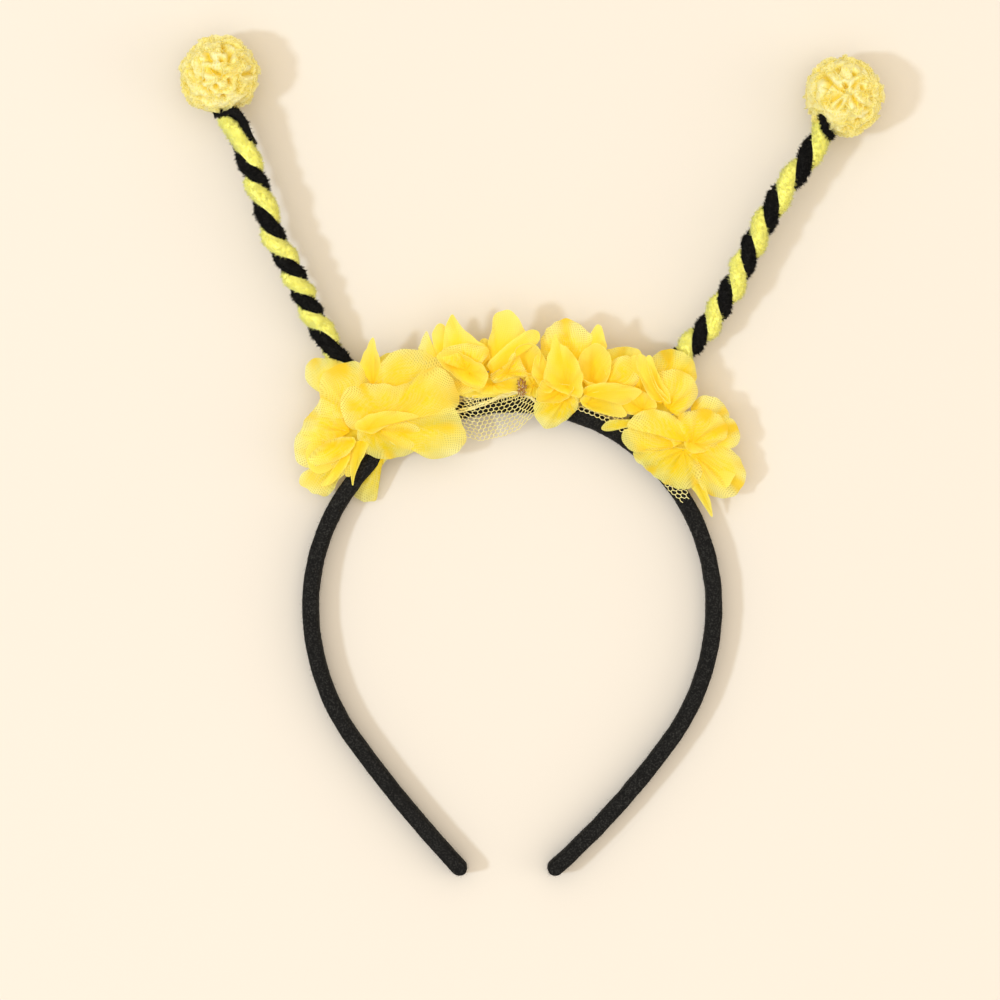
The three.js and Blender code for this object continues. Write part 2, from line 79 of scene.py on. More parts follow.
# %% Camera
CAMERA_HEIGHT = 1500.0
camera = bpy.data.objects.new("camera", bpy.data.cameras.new("camera"))
bpy.context.scene.collection.objects.link(camera)
camera.location = from_photo(PHOTO_STEPS / 2, PHOTO_STEPS / 2, CAMERA_HEIGHT) * MM
camera.data.sensor_width = 36.0
camera.data.lens = camera.data.sensor_width * (CAMERA_HEIGHT - BAND_HEIGHT) / (PHOTO_STEPS * PHOTO_STEP)
camera.data.clip_start, camera.data.clip_end = 0.01, 20.0
bpy.context.scene.camera = camera
print("lens", round(camera.data.lens, 1), "mm")

# %% Light
# The sky's strength at its edge and overhead, how late it grows between them, and its colour
HORIZON, ZENITH, STEEPNESS = 0.45, 2.83, 5.0
SKY_COLOUR = (1.0, 0.918, 0.778, 1)
# Each lamp: its side in metres, power in watts, place in metres, and colour
LAMPS = {"window": (0.32, 50.0, (-2.13, -0.45, 2.94), (0.68, 0.83, 1.0)),
         "far window": (2.4, 24.0, (3.30, -0.50, 2.10), (1.0, 0.95, 0.88))}
scene = bpy.context.scene
scene.view_settings.view_transform = "Standard"
scene.world = bpy.data.worlds.new("pale room")
scene.world.use_nodes = True
room = scene.world.node_tree
room.nodes["Background"].inputs["Color"].default_value = SKY_COLOUR
direction = room.nodes.new("ShaderNodeTexCoord")
height = room.nodes.new("ShaderNodeSeparateXYZ")
above = room.nodes.new("ShaderNodeMapRange")
steep = room.nodes.new("ShaderNodeMath")
steep.operation, steep.inputs[1].default_value = "POWER", STEEPNESS
glow = room.nodes.new("ShaderNodeMapRange")
glow.inputs["To Min"].default_value, glow.inputs["To Max"].default_value = HORIZON, ZENITH
room.links.new(direction.outputs["Generated"], height.inputs[0])
room.links.new(height.outputs["Z"], above.inputs["Value"])
room.links.new(above.outputs[0], steep.inputs[0])
room.links.new(steep.outputs[0], glow.inputs["Value"])
room.links.new(glow.outputs[0], room.nodes["Background"].inputs["Strength"])


def lamp(name, size, power, place, colour):
    """A square lamp that faces the crown."""
    data = bpy.data.lights.new(name, "AREA")
    data.size, data.energy, data.color = size, power, colour
    made = bpy.data.objects.new(name, data)
    scene.collection.objects.link(made)
    made.location = place
    made.rotation_euler = (-made.location).to_track_quat("-Z", "Y").to_euler()


for name, values in LAMPS.items():
    lamp(name, *values)
print("a sky that is brighter overhead, and", len(LAMPS), "lamps")

# %% [markdown]
# ## Small tools for making meshes
# Cloth, pile and net are all grids of points. Cloth could be simulated and pile grown as
# particles, but points that functions work out stay where the photograph shows them. A few helpers
# are enough: one joins a grid of points with faces, one makes a named piece from the result, one
# runs a smooth curve through a few places, and one gives the gentle unevenness of soft things as a
# sum of a few sine waves, which is the same on every run.

# %% Grids and pieces
def grid_faces(rows, columns, closed=False, start=0):
    """The four-cornered faces of a grid whose points are listed row by row."""
    down, across = np.meshgrid(np.arange(rows - 1), np.arange(columns - (0 if closed else 1)),
                               indexing="ij")
    beside = (across + 1) % columns
    corners = [down * columns + across, down * columns + beside,
               (down + 1) * columns + beside, (down + 1) * columns + across]
    return (np.stack(corners, axis=-1).reshape(-1, 4) + start).tolist()


def piece(name, points, faces, materials, layers=None, material_of=None):
    """A named mesh that rides on the headband. Points are in millimetres, and each layer gives
    every point two more numbers for its material."""
    mesh = bpy.data.meshes.new(name)
    mesh.from_pydata((np.asarray(points) * MM).tolist(), [], faces)
    corner = np.empty(len(mesh.loops), dtype=np.int64)
    mesh.loops.foreach_get("vertex_index", corner)
    for title, values in (layers or {}).items():
        layer = mesh.uv_layers.new(name=title)
        layer.data.foreach_set("uv", np.asarray(values, dtype=np.float32)[corner].ravel())
    for material in materials:
        mesh.materials.append(material)
    if material_of is not None:
        mesh.polygons.foreach_set("material_index", np.asarray(material_of, dtype=np.int32))
    mesh.polygons.foreach_set("use_smooth", np.ones(len(mesh.polygons), dtype=bool))
    mesh.update()
    made = bpy.data.objects.new(name, mesh)
    scene.collection.objects.link(made)
    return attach(made, "root")


print("a grid of 3 by 3 points has", len(grid_faces(3, 3)), "faces")


# %% Unevenness, directions and curves
def waves(points, length, seed, count=7):
    """Unevenness from about -1 to 1 that repeats about every length."""
    rng = np.random.default_rng(seed)
    total = np.zeros(len(points))
    for _ in range(count):
        heading = rng.normal(size=3)
        heading /= np.linalg.norm(heading)
        spacing = length * rng.uniform(0.7, 1.4)
        total += np.sin(2 * np.pi * (points @ heading) / spacing + rng.uniform(0, 2 * np.pi))
    return 1.6 * total / count


def units(vectors):
    """The same vectors, each of length one."""
    return vectors / np.maximum(np.linalg.norm(vectors, axis=-1, keepdims=True), 1e-9)


def through(knots, count, closed=False):
    """Points evenly spaced on a smooth curve through the knots."""
    knots = np.asarray(knots, dtype=float)
    if closed:
        ring = np.vstack([knots[-1:], knots, knots[:2]])
    else:
        ring = np.vstack([2 * knots[0] - knots[1], knots, 2 * knots[-1] - knots[-2]])
    t = np.linspace(0, 1, 25)[:-1, None]
    spans = []
    for a, b, c, d in zip(ring, ring[1:], ring[2:], ring[3:]):
        spans.append(0.5 * (2 * b + (c - a) * t + (2 * a - 5 * b + 4 * c - d) * t ** 2
                            + (3 * b - a - 3 * c + d) * t ** 3))
    line = np.vstack(spans + [ring[-2][None]])
    reach = np.concatenate([[0], np.cumsum(np.linalg.norm(np.diff(line, axis=0), axis=1))])
    stops = np.linspace(0, reach[-1], count, endpoint=not closed)
    return np.stack([np.interp(stops, reach, line[:, k]) for k in range(line.shape[1])], axis=1)


print("a curve through three corners is", through([(0, 0), (1, 0), (1, 1)], 3).round(2).tolist())


# %% Rings and their ends
def ring(count):
    """Angles once round a circle."""
    return 2 * np.pi * np.arange(count) / count


def capped(rows, count):
    """Two fans that close a tube of rings, to the two points that follow its last ring."""
    first, base = rows * count, (rows - 1) * count
    return ([[(k + 1) % count, k, first] for k in range(count)]
            + [[base + k, base + (k + 1) % count, first + 1] for k in range(count)])


def both_ways(shade):
    """One shade for each point as the two coordinates of its gather map."""
    return np.stack([shade, shade], axis=1)


print("a capped tube of two rings of six has", len(capped(2, 6)), "triangles at its ends")

# %% Directions and fine hairs
THIRDS = [turn * 2 * math.pi / 3 for turn in range(3)]
UP = np.array([0.0, 0.0, 1.0])


def beside(line):
    """The direction along a line at each point, and the level direction to its side."""
    along = units(np.gradient(line, axis=0))
    return along, units(np.cross(UP, along))


def around(along, first, radius):
    """Three offsets across each direction, a third of a turn apart, from the first one on."""
    second = np.cross(along, first)
    return [radius * (math.cos(turn) * first + math.sin(turn) * second) for turn in THIRDS]


def hairs(roots, tips, width):
    """Spikes of three faces from roots to tips, for pile and fuzz. Their feet are left open."""
    along = units(tips - roots)
    helper = np.where(np.abs(along[:, 2:3]) < 0.9, [UP], [[1.0, 0.0, 0.0]])
    feet = [roots + offset for offset in around(along, units(np.cross(along, helper)), width)]
    points = np.stack([*feet, tips], axis=1).reshape(-1, 3)
    base = 4 * np.arange(len(roots))[:, None]
    faces = np.concatenate([base + [0, 1, 3], base + [1, 2, 3], base + [2, 0, 3]], axis=0)
    return points, faces


print("a hair has", len(hairs(np.zeros((1, 3)), np.ones((1, 3)), 0.1)[1]), "faces")

# %% [markdown]
# ## Finishes
# Everything here is cloth. Two effects turn up in more than one finish, so each is a shader node
# group: the woven grid of threads and holes in chiffon and lace, and the soft mottling of pile.
# Chiffon lets light through, so its shader is part a matt surface and part a translucent one, and
# between the threads it is partly open. Pictures of cloth could be wrapped round the pieces, but
# nodes stay sharp at every distance and need no file.

# %% Node helpers
def node(tree, kind, values=(), **settings):
    """A node with its settings, and constants for the named inputs."""
    made = tree.nodes.new(kind)
    for name, value in settings.items():
        setattr(made, name, value)
    for name, value in dict(values).items():
        made.inputs[name].default_value = value
    return made


def sums(tree, operation, *values, clamp=False):
    """One Math node on sockets or numbers, and its output."""
    made = node(tree, "ShaderNodeMath", operation=operation, use_clamp=clamp)
    for socket, value in zip(made.inputs, values):
        if isinstance(value, (int, float)):
            socket.default_value = value
        else:
            tree.links.new(value, socket)
    return made.outputs[0]


def product(tree, *values, clamp=False):
    """Two or more sockets or numbers multiplied."""
    made = values[0]
    for value in values[1:]:
        made = sums(tree, "MULTIPLY", made, value, clamp=clamp)
    return made


def rippled(tree, phase):
    """A cosine of the phase, lifted to run from 0 to 1."""
    return sums(tree, "MULTIPLY_ADD", sums(tree, "COSINE", phase), 0.5, 0.5)


def blended(tree, factor, first, second):
    """A colour mixed from two, each a colour or a socket."""
    made = node(tree, "ShaderNodeMix", data_type="RGBA")
    tree.links.new(factor, made.inputs["Factor"])
    for socket, value in ((made.inputs["A"], first), (made.inputs["B"], second)):
        if isinstance(value, tuple):
            socket.default_value = (*value, 1)
        else:
            tree.links.new(value, socket)
    return made.outputs["Result"]


def new_group(name, inputs, outputs):
    """An empty shader node group with its sockets."""
    group = bpy.data.node_groups.new(name, "ShaderNodeTree")
    for title, value in inputs.items():
        kind = "NodeSocketVector" if value is None else "NodeSocketFloat"
        socket = group.interface.new_socket(title, in_out="INPUT", socket_type=kind)
        if value is not None:
            socket.default_value = value
    for title in outputs:
        group.interface.new_socket(title, in_out="OUTPUT", socket_type="NodeSocketFloat")
    return group, group.nodes.new("NodeGroupInput"), group.nodes.new("NodeGroupOutput")


print("node helpers ready")

# %% [markdown]
# ### Weave
# A plain weave is two sets of threads at right angles. Each set is a cosine across the cloth, and
# a hole is where both are low. The photograph also shows slow wavy lines where layers of the
# cloth lie over each other, so the group has a second, coarser set of lines bent by noise. Real
# threads would be hundreds of thousands of faces, and this way the same group serves chiffon and lace.

# %% Weave group
# How far noise bends the threads and the wavy lines, in mm, how wide it is, and the lines' slant
THREAD_DRIFT, THREAD_DRIFT_SCALE = 3.0, 0.11
LINE_BEND, LINE_BEND_SCALE, LINE_SLANT = 11.0, 0.09, 0.35


def make_weave():
    """Threads, the holes between them, and wavy lines, for a place on the cloth in mm."""
    group, start, end = new_group("weave", {"Place": None, "Spacing": 0.6, "Line Spacing": 1.5},
                                  ("Hole", "Thread", "Lines"))
    drift = node(group, "ShaderNodeTexNoise", {"Scale": THREAD_DRIFT_SCALE, "Detail": 1.0})
    group.links.new(start.outputs["Place"], drift.inputs["Vector"])
    bent = node(group, "ShaderNodeVectorMath", operation="MULTIPLY_ADD")
    group.links.new(drift.outputs["Color"], bent.inputs[0])
    bent.inputs[1].default_value = (THREAD_DRIFT, THREAD_DRIFT, 0.0)
    group.links.new(start.outputs["Place"], bent.inputs[2])
    split = node(group, "ShaderNodeSeparateXYZ")
    group.links.new(bent.outputs[0], split.inputs[0])
    turn = sums(group, "DIVIDE", 2 * math.pi, start.outputs["Spacing"])
    warp, weft = [rippled(group, product(group, split.outputs[axis], turn)) for axis in ("X", "Y")]
    hole = product(group, sums(group, "SUBTRACT", 1.0, warp), sums(group, "SUBTRACT", 1.0, weft))
    group.links.new(hole, end.inputs["Hole"])
    group.links.new(sums(group, "MAXIMUM", warp, weft), end.inputs["Thread"])
    bend = node(group, "ShaderNodeTexNoise", {"Scale": LINE_BEND_SCALE, "Detail": 1.0})
    group.links.new(start.outputs["Place"], bend.inputs["Vector"])
    slant = sums(group, "ADD", product(group, split.outputs["X"], LINE_SLANT), split.outputs["Y"])
    wavy = sums(group, "ADD", slant, product(group, bend.outputs[0], LINE_BEND))
    phase = sums(group, "DIVIDE", wavy, start.outputs["Line Spacing"])
    group.links.new(rippled(group, product(group, phase, 2 * math.pi)), end.inputs["Lines"])
    return group


def make_mottling():
    """Soft light and dark patches of two sizes."""
    group, start, end = new_group("mottling", {"Place": None, "Patch": 3.0, "Grain": 0.4},
                                  ("Patches", "Grains"))
    for size, title in (("Patch", "Patches"), ("Grain", "Grains")):
        noise = node(group, "ShaderNodeTexNoise", {"Detail": 3.0})
        group.links.new(start.outputs["Place"], noise.inputs["Vector"])
        group.links.new(sums(group, "DIVIDE", 1 / MM, start.outputs[size]), noise.inputs["Scale"])
        group.links.new(noise.outputs[0], end.inputs[title])
    return group


WEAVE, MOTTLING = make_weave(), make_mottling()
print("groups:", [g.name for g in bpy.data.node_groups])


# %% A matt material to start from
DULL = 0.12  # how little cloth mirrors


def matt(name, roughness, sheen, sheen_tint=(1, 1, 1, 1)):
    """A new material with its tree and its Principled BSDF."""
    material = bpy.data.materials.new(name)
    material.use_nodes = True
    tree = material.node_tree
    surface = tree.nodes["Principled BSDF"]
    surface.inputs["Roughness"].default_value = roughness
    surface.inputs["Sheen Weight"].default_value = sheen
    surface.inputs["Sheen Tint"].default_value = sheen_tint
    surface.inputs["Specular IOR Level"].default_value = DULL
    return material, tree, surface


def placed(tree, group, vector, **values):
    """One use of a group, fed with a place and its own values."""
    made = node(tree, "ShaderNodeGroup", node_tree=group)
    tree.links.new(vector, made.inputs["Place"])
    for name, value in values.items():
        made.inputs[name.replace("_", " ")].default_value = value
    return made


print("cloth has a specular level of", DULL)


# %% Colour, relief and light for any cloth
def gathered(tree, reach, axis="X"):
    """1 where cloth is gathered at its root or fibres start (or, along Y, low in a fold), as painted shade; 0
    from that reach on.
    """
    split = node(tree, "ShaderNodeSeparateXYZ")
    tree.links.new(node(tree, "ShaderNodeUVMap", uv_map="gather_and_shade").outputs[0], split.inputs[0])
    return sums(tree, "SUBTRACT", 1.0, sums(tree, "DIVIDE", split.outputs[axis], reach), clamp=True)


def ramped(tree, value, low, high):
    """0 up to the low value, 1 from the high value on."""
    made = node(tree, "ShaderNodeMapRange", {"From Min": low, "From Max": high})
    tree.links.new(value, made.inputs["Value"])
    return made.outputs[0]


def dressed(tree, surface, tone, relief, strength, depth):
    """The tone as the surface's colour, and the relief as its bump."""
    tree.links.new(tone, surface.inputs["Base Color"])
    bump = node(tree, "ShaderNodeBump", {"Strength": strength, "Distance": depth})
    tree.links.new(relief, bump.inputs["Height"])
    tree.links.new(bump.outputs[0], surface.inputs["Normal"])


def lit_through(tree, surface, tone, share):
    """The surface mixed with that share of the light that comes through from behind."""
    glow = node(tree, "ShaderNodeBsdfTranslucent")
    tree.links.new(tone, glow.inputs["Color"])
    both = node(tree, "ShaderNodeMixShader", {"Fac": share})
    tree.links.new(surface.outputs[0], both.inputs[1])
    tree.links.new(glow.outputs[0], both.inputs[2])
    return both.outputs[0]


def opened(tree, cloth_shader, share):
    """The cloth with that share of it open, as the output."""
    gaps = node(tree, "ShaderNodeMixShader")
    tree.links.new(share, gaps.inputs["Fac"])
    tree.links.new(cloth_shader, gaps.inputs[1])
    tree.links.new(node(tree, "ShaderNodeBsdfTransparent").outputs[0], gaps.inputs[2])
    tree.links.new(gaps.outputs[0], tree.nodes["Material Output"].inputs["Surface"])


print("cloth helpers ready")

# %% [markdown]
# ### Chiffon
# Where one layer lies over the pale table it looks light, where layers are gathered it turns to
# deep yellow. One material with a see-through share would look the same all over, so the petals
# carry how far out a spot is and how high it lies on a fold, and the colour follows both: painted
# light at the edge and on fold ridges, deep yellow at the root and in fold valleys, partly because
# light that comes through more layers passes more dye and partly as painted shade. The larger
# petals show their open weave, the small upright ones look closed and smooth, so there are two
# chiffons.

# %% Chiffon, open and close
# In millimetres: between threads, between wavy lines, and the size of patches and grains
THREADS, WAVY_LINES, CLOTH_PATCH, CLOTH_GRAIN = 0.58, 1.15, 9.0, 0.9
# How far the weave shifts each way, in mm for each metre of height, so that it bends over a fold
FOLD_SHIFT = {"X": 300.0, "Y": 520.0}
CHIFFON_LIGHT = 0.40  # the share of its light that comes through


def on_folds(tree, cloth, place):
    """The place on the cloth, shifted with the height of the fold, so that threads bend over it."""
    height = node(tree, "ShaderNodeSeparateXYZ")
    tree.links.new(place.outputs["Object"], height.inputs[0])
    shift = node(tree, "ShaderNodeCombineXYZ")
    for axis, amount in FOLD_SHIFT.items():
        tree.links.new(product(tree, height.outputs["Z"], amount), shift.inputs[axis])
    both = node(tree, "ShaderNodeVectorMath", operation="ADD")
    tree.links.new(cloth.outputs[0], both.inputs[0])
    tree.links.new(shift.outputs[0], both.inputs[1])
    return both.outputs[0]


def chiffon(name, pale, colour, deep, open_share, line_share, hole_shade, root_reach, fold_depth):
    """Thin cloth: pale on its lines and in patches, painted light at its edge and on fold ridges, and deep at
    its root, in fold valleys and edge-on, as denser cloth and painted shade.
    """
    material, tree, surface = matt(name, 0.75, 0.12, (1.0, 0.9, 0.45, 1))
    cloth = node(tree, "ShaderNodeUVMap", uv_map="cloth_mm")
    place = node(tree, "ShaderNodeTexCoord")
    weave = placed(tree, WEAVE, on_folds(tree, cloth, place), Spacing=THREADS, Line_Spacing=WAVY_LINES)
    mottling = placed(tree, MOTTLING, place.outputs["Object"], Patch=CLOTH_PATCH, Grain=CLOTH_GRAIN)
    patches, grains = mottling.outputs["Patches"], mottling.outputs["Grains"]
    slant = node(tree, "ShaderNodeLayerWeight", {"Blend": 0.3}).outputs["Facing"]
    # painted shade maps: deep at the root, and in the low parts of folds
    root, fold_shade = gathered(tree, root_reach), gathered(tree, 1.0, "Y")
    # painted light: paler towards the edge, where one layer lies over the pale table
    outer = ramped(tree, sums(tree, "SUBTRACT", 1.0, gathered(tree, 1.0), clamp=True), 0.62, 1.0)
    clear = sums(tree, "MULTIPLY_ADD", ramped(tree, patches, 0.38, 0.62), 0.65, 0.35)
    lines = product(tree, ramped(tree, weave.outputs["Lines"], 0.30, 0.85), clear)
    # pale patches, lines and grains, painted light at the edge and painted highlights on fold ridges
    pale_and_lit_spots = ((ramped(tree, patches, 0.45, 0.70), 0.3), (outer, 0.8), (lines, line_share),
                  (ramped(tree, fold_shade, 0.6, 0.1), 0.35), (ramped(tree, grains, 0.50, 0.68), line_share))
    tone = colour
    for mask, share in pale_and_lit_spots:
        tone = blended(tree, product(tree, mask, share), tone, pale)
    tone = blended(tree, product(tree, weave.outputs["Hole"], hole_shade), tone, colour)
    # deep yellow edge-on, where the cloth is denser, and painted shade at the root and in fold valleys
    density_and_shade = sums(tree, "MAXIMUM", sums(tree, "POWER", root, 1.3), ramped(tree, slant, 0.25, 0.85))
    density_and_shade = sums(tree, "MAXIMUM", density_and_shade, product(tree, ramped(tree, fold_shade, 0.42, 0.92), fold_depth))
    tone = blended(tree, density_and_shade, tone, deep)
    dressed(tree, surface, tone, weave.outputs["Thread"], 0.2, 0.0001)
    hole = sums(tree, "MULTIPLY_ADD", product(tree, weave.outputs["Hole"], clear), 0.85, 0.2)
    thin = product(tree, sums(tree, "MULTIPLY_ADD", outer, 0.6, 0.7), sums(tree, "SUBTRACT", 1.0, density_and_shade))
    gaps = product(tree, product(tree, hole, thin), open_share, clamp=True)
    opened(tree, lit_through(tree, surface, tone, CHIFFON_LIGHT), gaps)
    return material


# pale: the colour of patches, lines and painted light; deep: of denser cloth and painted shade
OPEN_CHIFFON = chiffon(
    "open chiffon", pale=(1.0, 0.965, 0.35), colour=(1.0, 0.848, 0.036), deep=(1.0, 0.700, 0.010),
    open_share=0.48, line_share=0.52, hole_shade=0.4, root_reach=1.05, fold_depth=0.85)
CLOSE_CHIFFON = chiffon(
    "close chiffon", pale=(1.0, 0.905, 0.22), colour=(1.0, 0.84, 0.050), deep=(1.0, 0.68, 0.013),
    open_share=0.20, line_share=0.15, hole_shade=0.15, root_reach=1.15, fold_depth=0.50)
print("two chiffons")

# %% [markdown]
# ### Lace
# The pompoms are gathered lace, paler than the petals, with rows of small round holes. The holes
# could be cut in the mesh, but they are under a millimetre wide and there are thousands of them, so
# the weave group opens them in the shader: not at all on the ball, where cloth lies behind cloth,
# and a little along the frills, which stand free.

# %% Lace
# In millimetres: between holes, between rows of them, and the size of patches and grains
LACE_HOLES, LACE_ROWS, LACE_PATCH, LACE_GRAIN = 0.92, 4.0, 5.0, 0.7
LACE_BASE = 0.45  # how open lace is between its holes, as a share of how open they are


def lace(name, open_share, light_through, pale, colour, deep):
    """Pale cloth that is deeper in its rows of holes, with painted shade in the creases of the ball and at
    the feet of the frills.
    """
    material, tree, surface = matt(name, 0.8, 0.55, (1.0, 0.95, 0.62, 1))
    cloth = node(tree, "ShaderNodeUVMap", uv_map="cloth_mm")
    weave = placed(tree, WEAVE, cloth.outputs[0], Spacing=LACE_HOLES, Line_Spacing=LACE_ROWS)
    place = node(tree, "ShaderNodeTexCoord")
    mottling = placed(tree, MOTTLING, place.outputs["Object"], Patch=LACE_PATCH, Grain=LACE_GRAIN)
    hole = sums(tree, "POWER", weave.outputs["Hole"], 1.5)
    rows_of_holes = product(tree, hole, ramped(tree, weave.outputs["Lines"], 0.05, 0.4))
    tone = blended(tree, ramped(tree, mottling.outputs["Patches"], 0.40, 0.60), colour, pale)
    tone = blended(tree, ramped(tree, mottling.outputs["Grains"], 0.35, 0.75), tone, pale)
    tone = blended(tree, product(tree, rows_of_holes, 0.7), tone, deep)
    # painted shade in the creases of the ball and at the frills' feet, from the map
    tone = blended(tree, gathered(tree, 1.0), tone, deep)
    dressed(tree, surface, tone, weave.outputs["Thread"], 0.5, 0.0002)
    gaps = sums(tree, "MULTIPLY_ADD", hole, open_share, LACE_BASE * open_share)
    opened(tree, lit_through(tree, surface, tone, light_through), gaps)
    return material


# deep: the colour of the rows of holes and of painted shade
LACE = lace("gathered lace", open_share=0.0, light_through=0.34,
            pale=(1.0, 0.975, 0.58), colour=(1.0, 0.925, 0.33), deep=(1.0, 0.79, 0.08))
LACE_EDGE = lace("lace edge", open_share=0.18, light_through=0.68,
                 pale=(1.0, 0.98, 0.62), colour=(1.0, 0.945, 0.42), deep=(1.0, 0.87, 0.18))
print("two laces")

# %% [markdown]
# ### Pile and felt
# Chenille and felt take up light: their colour hardly changes with the angle, apart from a faint
# sheen on the fibre tips. A hair shader is made for hair curves, and here the fibres are meshes, so
# a matt surface is enough and mottling keeps it from looking painted. The net, the petals' edges
# and the thread share the same recipe in other colours.

# %% Pile, felt and net
def pile(name, colour, darker, fleck, sheen=0.1, tint=(1, 1, 0.9, 1)):
    """Fibres with painted shade towards their roots, darker patches at random, and lighter flecks where some
    catch light.
    """
    material, tree, surface = matt(name, 0.9, sheen, tint)
    place = node(tree, "ShaderNodeTexCoord")
    patches = placed(tree, MOTTLING, place.outputs["Object"], Patch=3.2, Grain=0.5)
    tone = blended(tree, patches.outputs["Patches"], darker, colour)
    tone = blended(tree, ramped(tree, patches.outputs["Grains"], 0.48, 0.68), tone, fleck)
    # painted shade: darker towards the fibres' roots and over a chenille core
    tone = blended(tree, gathered(tree, 1.0), tone, darker)
    dressed(tree, surface, tone, patches.outputs["Grains"], 0.3, 0.0002)
    return material


# Each pile: colour, a darker one for random patches and painted shade at the roots, and light flecks
FELT = pile("black felt", (0.011, 0.0103, 0.010), (0.003, 0.003, 0.003), (0.035, 0.034, 0.032), sheen=0)
BLACK_PILE = pile("black chenille", (0.009, 0.008, 0.008), (0.002, 0.002, 0.002), (0.022, 0.021, 0.020),
                  sheen=0)
LEMON_PILE = pile("lemon chenille", (1.0, 0.98, 0.30), (0.95, 0.90, 0.17), (1.0, 1.0, 0.46),
                  sheen=0.3, tint=(1, 1, 0.7, 1))
NET = pile("pale yellow net", (1.0, 0.93, 0.47), (0.92, 0.79, 0.28), (1.0, 0.97, 0.64))
BEAD = pile("petal edge", (1.0, 0.89, 0.16), (1.0, 0.82, 0.06), (1.0, 0.93, 0.30))
THREAD = pile("brown thread", (0.50, 0.24, 0.03), (0.30, 0.10, 0.01), (0.86, 0.78, 0.60))
print("materials:", len(bpy.data.materials))

# %% [markdown]
# ## Floor
# A plain cream table, the stage that the headband lies on. It could be a shadow catcher over a
# painted ground, but a real surface also throws its warm light up into the pale cloth.

# %% Floor
TABLE_HALF = 2.4  # half of the table's side, in metres


def floor():
    """One face under everything, which isn't a part of the headband."""
    corners = [(x * TABLE_HALF, y * TABLE_HALF, 0) for x, y in ((-1, -1), (1, -1), (1, 1), (-1, 1))]
    mesh = bpy.data.meshes.new("table")
    mesh.from_pydata(corners, [], [(0, 1, 2, 3)])
    material, tree, surface = matt("cream table", 0.85, 0.0)
    surface.inputs["Specular IOR Level"].default_value = 0.1
    place = node(tree, "ShaderNodeTexCoord")
    patches = placed(tree, MOTTLING, place.outputs["Object"], Patch=240.0, Grain=5.0)
    tone = blended(tree, patches.outputs["Patches"], (0.712, 0.652, 0.583), (0.728, 0.668, 0.599))
    tree.links.new(tone, surface.inputs["Base Color"])
    mesh.materials.append(material)
    made = bpy.data.objects.new("table", mesh)
    scene.collection.objects.link(made)
    print("a table", 2 * TABLE_HALF, "m wide")


floor()

# %% [markdown]
# ## Band
# The band is a springy strip wound in black felt. The CAD has its plan and its faceted solid. A
# bevel and a displacement on that solid would round it, but leave long flat faces, so the same arcs
# are swept again here with many more steps, a rounded section and a glued seam along the side that
# faces the head. A thin coat of stray fibres breaks its outline.

# %% The band's line
BAND_STEP, CROWN_STEPS = 0.8, 236  # mm between rings on the arms, and rings on the crown


def arm_line(side, leg):
    """Points and outward directions from the crown's end to the tip of one arm."""
    length, turn = leg
    arcs = [(SHOULDER_RADIUS, math.radians(SHOULDER_TURN)),
            (length / math.radians(turn), math.radians(turn))]
    centre = np.array([side * (CROWN_RADIUS - SHOULDER_RADIUS), 0.0])
    angle, rows = 0.0, []
    for k, (radius, arc) in enumerate(arcs):
        if k:
            shift = arcs[k - 1][0] - radius
            centre = centre + np.array([side * shift * math.cos(angle), -shift * math.sin(angle)])
        steps = int(radius * arc / BAND_STEP)
        at = angle + arc * np.arange(1, steps + 1) / steps
        out = np.stack([side * np.cos(at), -np.sin(at)], axis=1)
        rows.append(np.hstack([centre + radius * out, out]))
        angle += arc
    return np.vstack(rows)


def band_line():
    """x, y and the outward direction along the whole band, from the left tip to the right tip."""
    at = np.linspace(math.pi, 0, CROWN_STEPS)
    out = np.stack([np.cos(at), np.sin(at)], axis=1)
    crown = np.hstack([CROWN_RADIUS * out, out])
    line = np.vstack([arm_line(-1, LEFT_LEG)[::-1], crown, arm_line(1, RIGHT_LEG)])
    line[:, 1] -= CROWN_RADIUS
    return line


LINE = band_line()
print("band length", round(float(np.linalg.norm(np.diff(LINE[:, :2], axis=0), axis=1).sum())), "mm")


# %% The band's solid
SQUARENESS = 4.2  # 2 would make the section an ellipse, and a large number a rectangle
SEAM_RISE, SEAM_WIDTH, SEAM_DROP = 0.28, 0.55, 0.4  # in mm: how proud, half its width, below the middle


def band_section(count=40):
    """A rounded rectangle: across (outward) and up, from its middle."""
    at = ring(count)
    power = 2 / SQUARENESS
    across = BAND_THICKNESS / 2 * np.sign(np.cos(at)) * np.abs(np.cos(at)) ** power
    up = BAND_HEIGHT / 2 * np.sign(np.sin(at)) * np.abs(np.sin(at)) ** power
    return across, up


